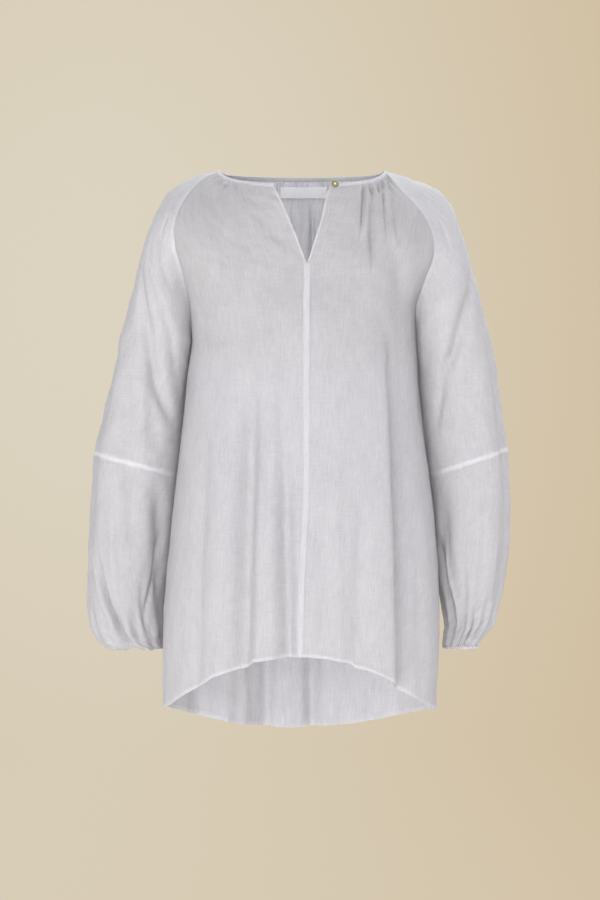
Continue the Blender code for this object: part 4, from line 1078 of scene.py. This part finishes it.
def linen(name, colour, through, upper=None):
    """Slubby plain-weave linen: uneven yarns both ways, paler where the cloth is doubled.

    Cloth with an upper colour has it near the neck, as painted shade over the chest.
    """
    paint, tree, shader = material(name, Roughness=0.88, Specular_IOR_Level=0.25, Sheen_Weight=0.12,
                                   Sheen_Roughness=0.5)

    def maths(operation, *values):
        return node(tree, "Math", dict(enumerate(values)), operation=operation).outputs[0]

    def pair(title):
        """The two values of a map."""
        grid = node(tree, "UVMap", uv_map=title).outputs[0]
        split = node(tree, "SeparateXYZ", {0: grid})
        return split.outputs[0], split.outputs[1]

    across, along = pair("grain")

    def streaks(width, length, seed):
        """Noise drawn out along one direction of the weave."""
        place = node(tree, "CombineXYZ", {0: maths("DIVIDE", across, width),
                                          1: maths("DIVIDE", along, length), 2: seed})
        cloud = node(tree, "TexNoise", {"Vector": place.outputs[0], "Scale": 1.0, "Detail": 2.0,
                                        "Roughness": 0.62})
        return maths("SUBTRACT", cloud.outputs[0], 0.5)

    warp = streaks(WARP_WIDTH, SLUB_LENGTH, 1.7)
    weft = streaks(SLUB_LENGTH, WEFT_WIDTH, 5.1)
    doubled = smooth_range(tree, maths("MINIMUM", *pair("edge")), 1.12, 0.88)
    shade = maths("MULTIPLY_ADD", warp, WARP_CONTRAST, 1.0)
    shade = maths("MULTIPLY_ADD", weft, WEFT_CONTRAST, shade)
    shade = maths("MULTIPLY_ADD", streaks(*PATCH_SIZE, 9.3), PATCH_CONTRAST, shade)
    shade = maths("MULTIPLY_ADD", doubled, DOUBLED_SHADE, shade)
    # The upper colour mixed in here is painted shade over the chest.
    tint = blend(tree, smooth_range(tree, along, *PAINTED_SHADE_REACH), colour, upper or colour)
    toned = node(tree, "HueSaturation", {"Color": tint, "Value": shade}).outputs[0]

    ridges = [maths("SINE", maths("MULTIPLY", way, 2 * math.pi / YARN_PITCH)) for way in (across, along)]
    height = maths("MULTIPLY_ADD", maths("MULTIPLY", *ridges), 0.10, warp)
    height = maths("ADD", height, maths("MULTIPLY", weft, 0.9))
    bump = node(tree, "Bump", {"Strength": 0.35, "Distance": 0.0005, "Height": height}).outputs[0]
    fill(tree, shader, {"Base Color": toned, "Normal": bump})

    glow = node(tree, "BsdfTranslucent", {"Color": toned, "Normal": bump})
    share = maths("MULTIPLY_ADD", doubled, -0.30 * through, through)
    mix = node(tree, "MixShader", {0: share, 1: shader.outputs[0], 2: glow.outputs[0]})
    fill(tree, tree.nodes["Material Output"], {"Surface": mix.outputs[0]})
    return paint


def plain(name, colour, roughness):
    """A plain finish, for thread and the button."""
    return material(name, Base_Color=(*colour, 1.0), Roughness=roughness)[0]


def wear(piece, paint, slot, *nodes):
    """Give a piece its material, and let it stand for solids and ride on the body. slot is not used."""
    piece.data.materials.append(paint)
    if nodes:
        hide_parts(*nodes)
    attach(piece, "root")


FLOOR_Z = -1.475
BOWL_RADIUS = 6.6
COVE = 0.8
WALL_TOP = 3.2
BOWL_SIDES = 96
# The backdrop's glow, pale at its centre and deep at its reach, is a painted pool of light.
BACKDROP_PALE = (0.752, 0.688, 0.560)
BACKDROP_DEEP = (0.640, 0.500, 0.315)
GLOW_CENTRE = (-0.80, 0.20)
GLOW_REACH = (3.4, 5.0)
GLOW = 0.95


def backdrop():
    """A backdrop that glows by itself, with a painted pool of light: paler behind the garment and deeper
    away from it.
    """
    paint, tree, shader = material("backdrop", Base_Color=(0.001, 0.001, 0.001, 1.0), Roughness=1.0,
                                   Specular_IOR_Level=0.0, Emission_Strength=GLOW)
    (x, z), (wide, high) = GLOW_CENTRE, GLOW_REACH
    shift = node(tree, "Mapping", {"Vector": node(tree, "TexCoord").outputs["Object"],
                                   "Location": (-x / wide, 0, -z / high),
                                   "Scale": (1 / wide, 0, 1 / high)})
    away = node(tree, "VectorMath", {0: shift.outputs[0]}, operation="LENGTH").outputs["Value"]
    glow = blend(tree, smooth_range(tree, away), BACKDROP_PALE, BACKDROP_DEEP)
    fill(tree, shader, {"Emission Color": glow})
    return paint


def stage():
    """A wide plain bowl: a floor, a soft cove and a wall all round, beyond every view's camera."""
    profile = [(BOWL_RADIUS - COVE + COVE * math.sin(a), FLOOR_Z + COVE - COVE * math.cos(a))
               for a in np.linspace(0, math.pi / 2, 12)]
    profile.append((BOWL_RADIUS, WALL_TOP))
    circle = spokes(BOWL_SIDES, OUTWARD, ALONG_Y)
    points = [point for radius, z in profile for point in radius * circle + z * UP]
    faces = ring_faces(len(profile), BOWL_SIDES)
    bowl = mesh_object("stage_bowl", points, faces[:-1])   # open at the top
    bowl.data.materials.append(backdrop())
    bowl.visible_diffuse = False


# Studio lights: place, aim, size, power and colour
LAMPS = {
    "left": ((-2.8, -3.1, -0.8), (0, 0, -0.45), (1.8, 1.8), 43, (1.0, 0.985, 0.985)),
    "right": ((4.2, -0.8, 0.0), (0, 0, -0.35), (2.0, 2.0), 36, (0.98, 0.975, 1.0)),
    "low": ((-0.35, -2.3, -1.38), (0, 0, -0.62), (2.4, 0.5), 30, (0.99, 0.98, 1.0)),
    "high": ((-0.3, -3.2, 1.7), (0, 0, 0.0), (1.2, 0.8), 52, (0.97, 0.975, 1.0)),
    "top": ((0.6, 1.6, 2.4), (0, 0, -0.1), (3.0, 1.4), 130, (0.94, 0.965, 1.0)),
    "back": ((0.0, 3.6, -0.2), (0, 0, -0.35), (4.0, 3.0), 62, (0.84, 0.93, 1.0)),
}
SKY_LOW = (1.19, 1.18, 1.23)
SKY_HIGH = (0.42, 0.44, 0.49)
SKY_TURN = (-0.25, 0.65)  # heights of a unit sight line between which the sky changes
CAMERA_PLACE = (-0.0028, -3.6, -0.385)
VIEW_HEIGHT = 1.26        # metres of the middle plane that the picture's height shows
SENSOR = 36.0


def lights():
    """Soft rectangular lights from all round, not seen themselves."""
    for name, (place, aim, size, power, colour) in LAMPS.items():
        light = bpy.data.lights.new(name, "AREA")
        light.shape = "RECTANGLE"
        light.size, light.size_y = size
        light.energy = power
        light.color = colour
        thing = bpy.data.objects.new(name, light)
        thing.location = place
        thing.rotation_mode = "QUATERNION"
        thing.rotation_quaternion = (Vector(aim) - Vector(place)).to_track_quat("-Z", "Y")
        thing.visible_camera = False
        bpy.context.scene.collection.objects.link(thing)


def sky():
    """Even surroundings, bright below and at eye level and dim overhead."""
    world = bpy.data.worlds.new("studio")
    bpy.context.scene.world = world
    world.use_nodes = True
    tree = world.node_tree
    split = node(tree, "SeparateXYZ", {0: node(tree, "TexCoord").outputs["Generated"]})
    colour = blend(tree, smooth_range(tree, split.outputs[2], *SKY_TURN), SKY_LOW, SKY_HIGH)
    fill(tree, tree.nodes["Background"], {"Color": colour})


def camera():
    """A level camera in front, at the photograph's height and distance."""
    data = bpy.data.cameras.new("camera")
    data.sensor_width = SENSOR
    data.lens = SENSOR * -CAMERA_PLACE[1] / VIEW_HEIGHT
    thing = bpy.data.objects.new("camera", data)
    thing.location = CAMERA_PLACE
    thing.rotation_euler = (math.pi / 2, 0, 0)
    bpy.context.scene.collection.objects.link(thing)
    bpy.context.scene.camera = thing


def build():
    """Make every piece, the stage, the lights and the camera."""
    # One linen in four colours: the sleeves and back paler, the back bluer and the strips darker, as
    # painted light and shade on each piece. The fronts' second colour is painted shade over the chest.
    front = linen("front_linen_weave", (0.652, 0.639, 0.650), 0.42, (0.588, 0.574, 0.574))
    back = linen("back_linen_weave", (0.700, 0.699, 0.720), 0.46)
    arm = linen("sleeve_linen_weave", (0.698, 0.689, 0.696), 0.46)
    edging = linen("strip_linen_weave", (0.580, 0.572, 0.580), 0.38)
    ribbon = linen("label_weave", (0.97, 0.97, 0.965), 0.30)
    thread = plain("sewing_thread", (0.73, 0.716, 0.722), 0.6)
    for side in SIGN:
        for face, cloth in (("front", front), ("back", back)):
            piece, seams = body_panel(face, side)
            wear(piece, cloth, "body_linen", f"{face}_{side}")
            wear(seams, thread, "edging")
        for name, make in (("upper_sleeve", upper_sleeve), ("lower_sleeve", lower_sleeve)):
            piece, seams = make(side)
            wear(piece, arm, "sleeve_linen", f"{name}_{side}")
            wear(seams, thread, "edging")
        wear(cuff(side), edging, "edging", f"cuff_{side}")
    wear(neck_binding(), edging, "edging", "neck_binding")
    wear(front_seam_band(), edging, "edging", "front_seam_band")
    wear(back_seam(), back, "body_linen")
    label, seams = neck_label()
    wear(label, ribbon, "label_cloth", "neck_label")
    wear(seams, thread, "edging")
    wear(button_loop(), thread, "edging", "button_loop")
    rim, dish, holes, threads = button()
    wear(rim, plain("button_rim", (0.215, 0.19, 0.065), 0.28), "button_shell", "button")
    wear(dish, plain("button_dish", (0.30, 0.28, 0.12), 0.25), "button_shell")
    # The holes' near-black is painted shade.
    painted_hole_shade = plain("button_hole_painted_shade", (0.05, 0.045, 0.03), 0.7)
    pale = plain("button_thread", (0.85, 0.85, 0.78), 0.6)
    for piece, paint in [(hole, painted_hole_shade) for hole in holes] + [(strand, pale) for strand in threads]:
        wear(piece, paint, "button_shell")
    stage()
    lights()
    sky()
    camera()


build()
bpy.context.scene.view_settings.view_transform = "Standard"
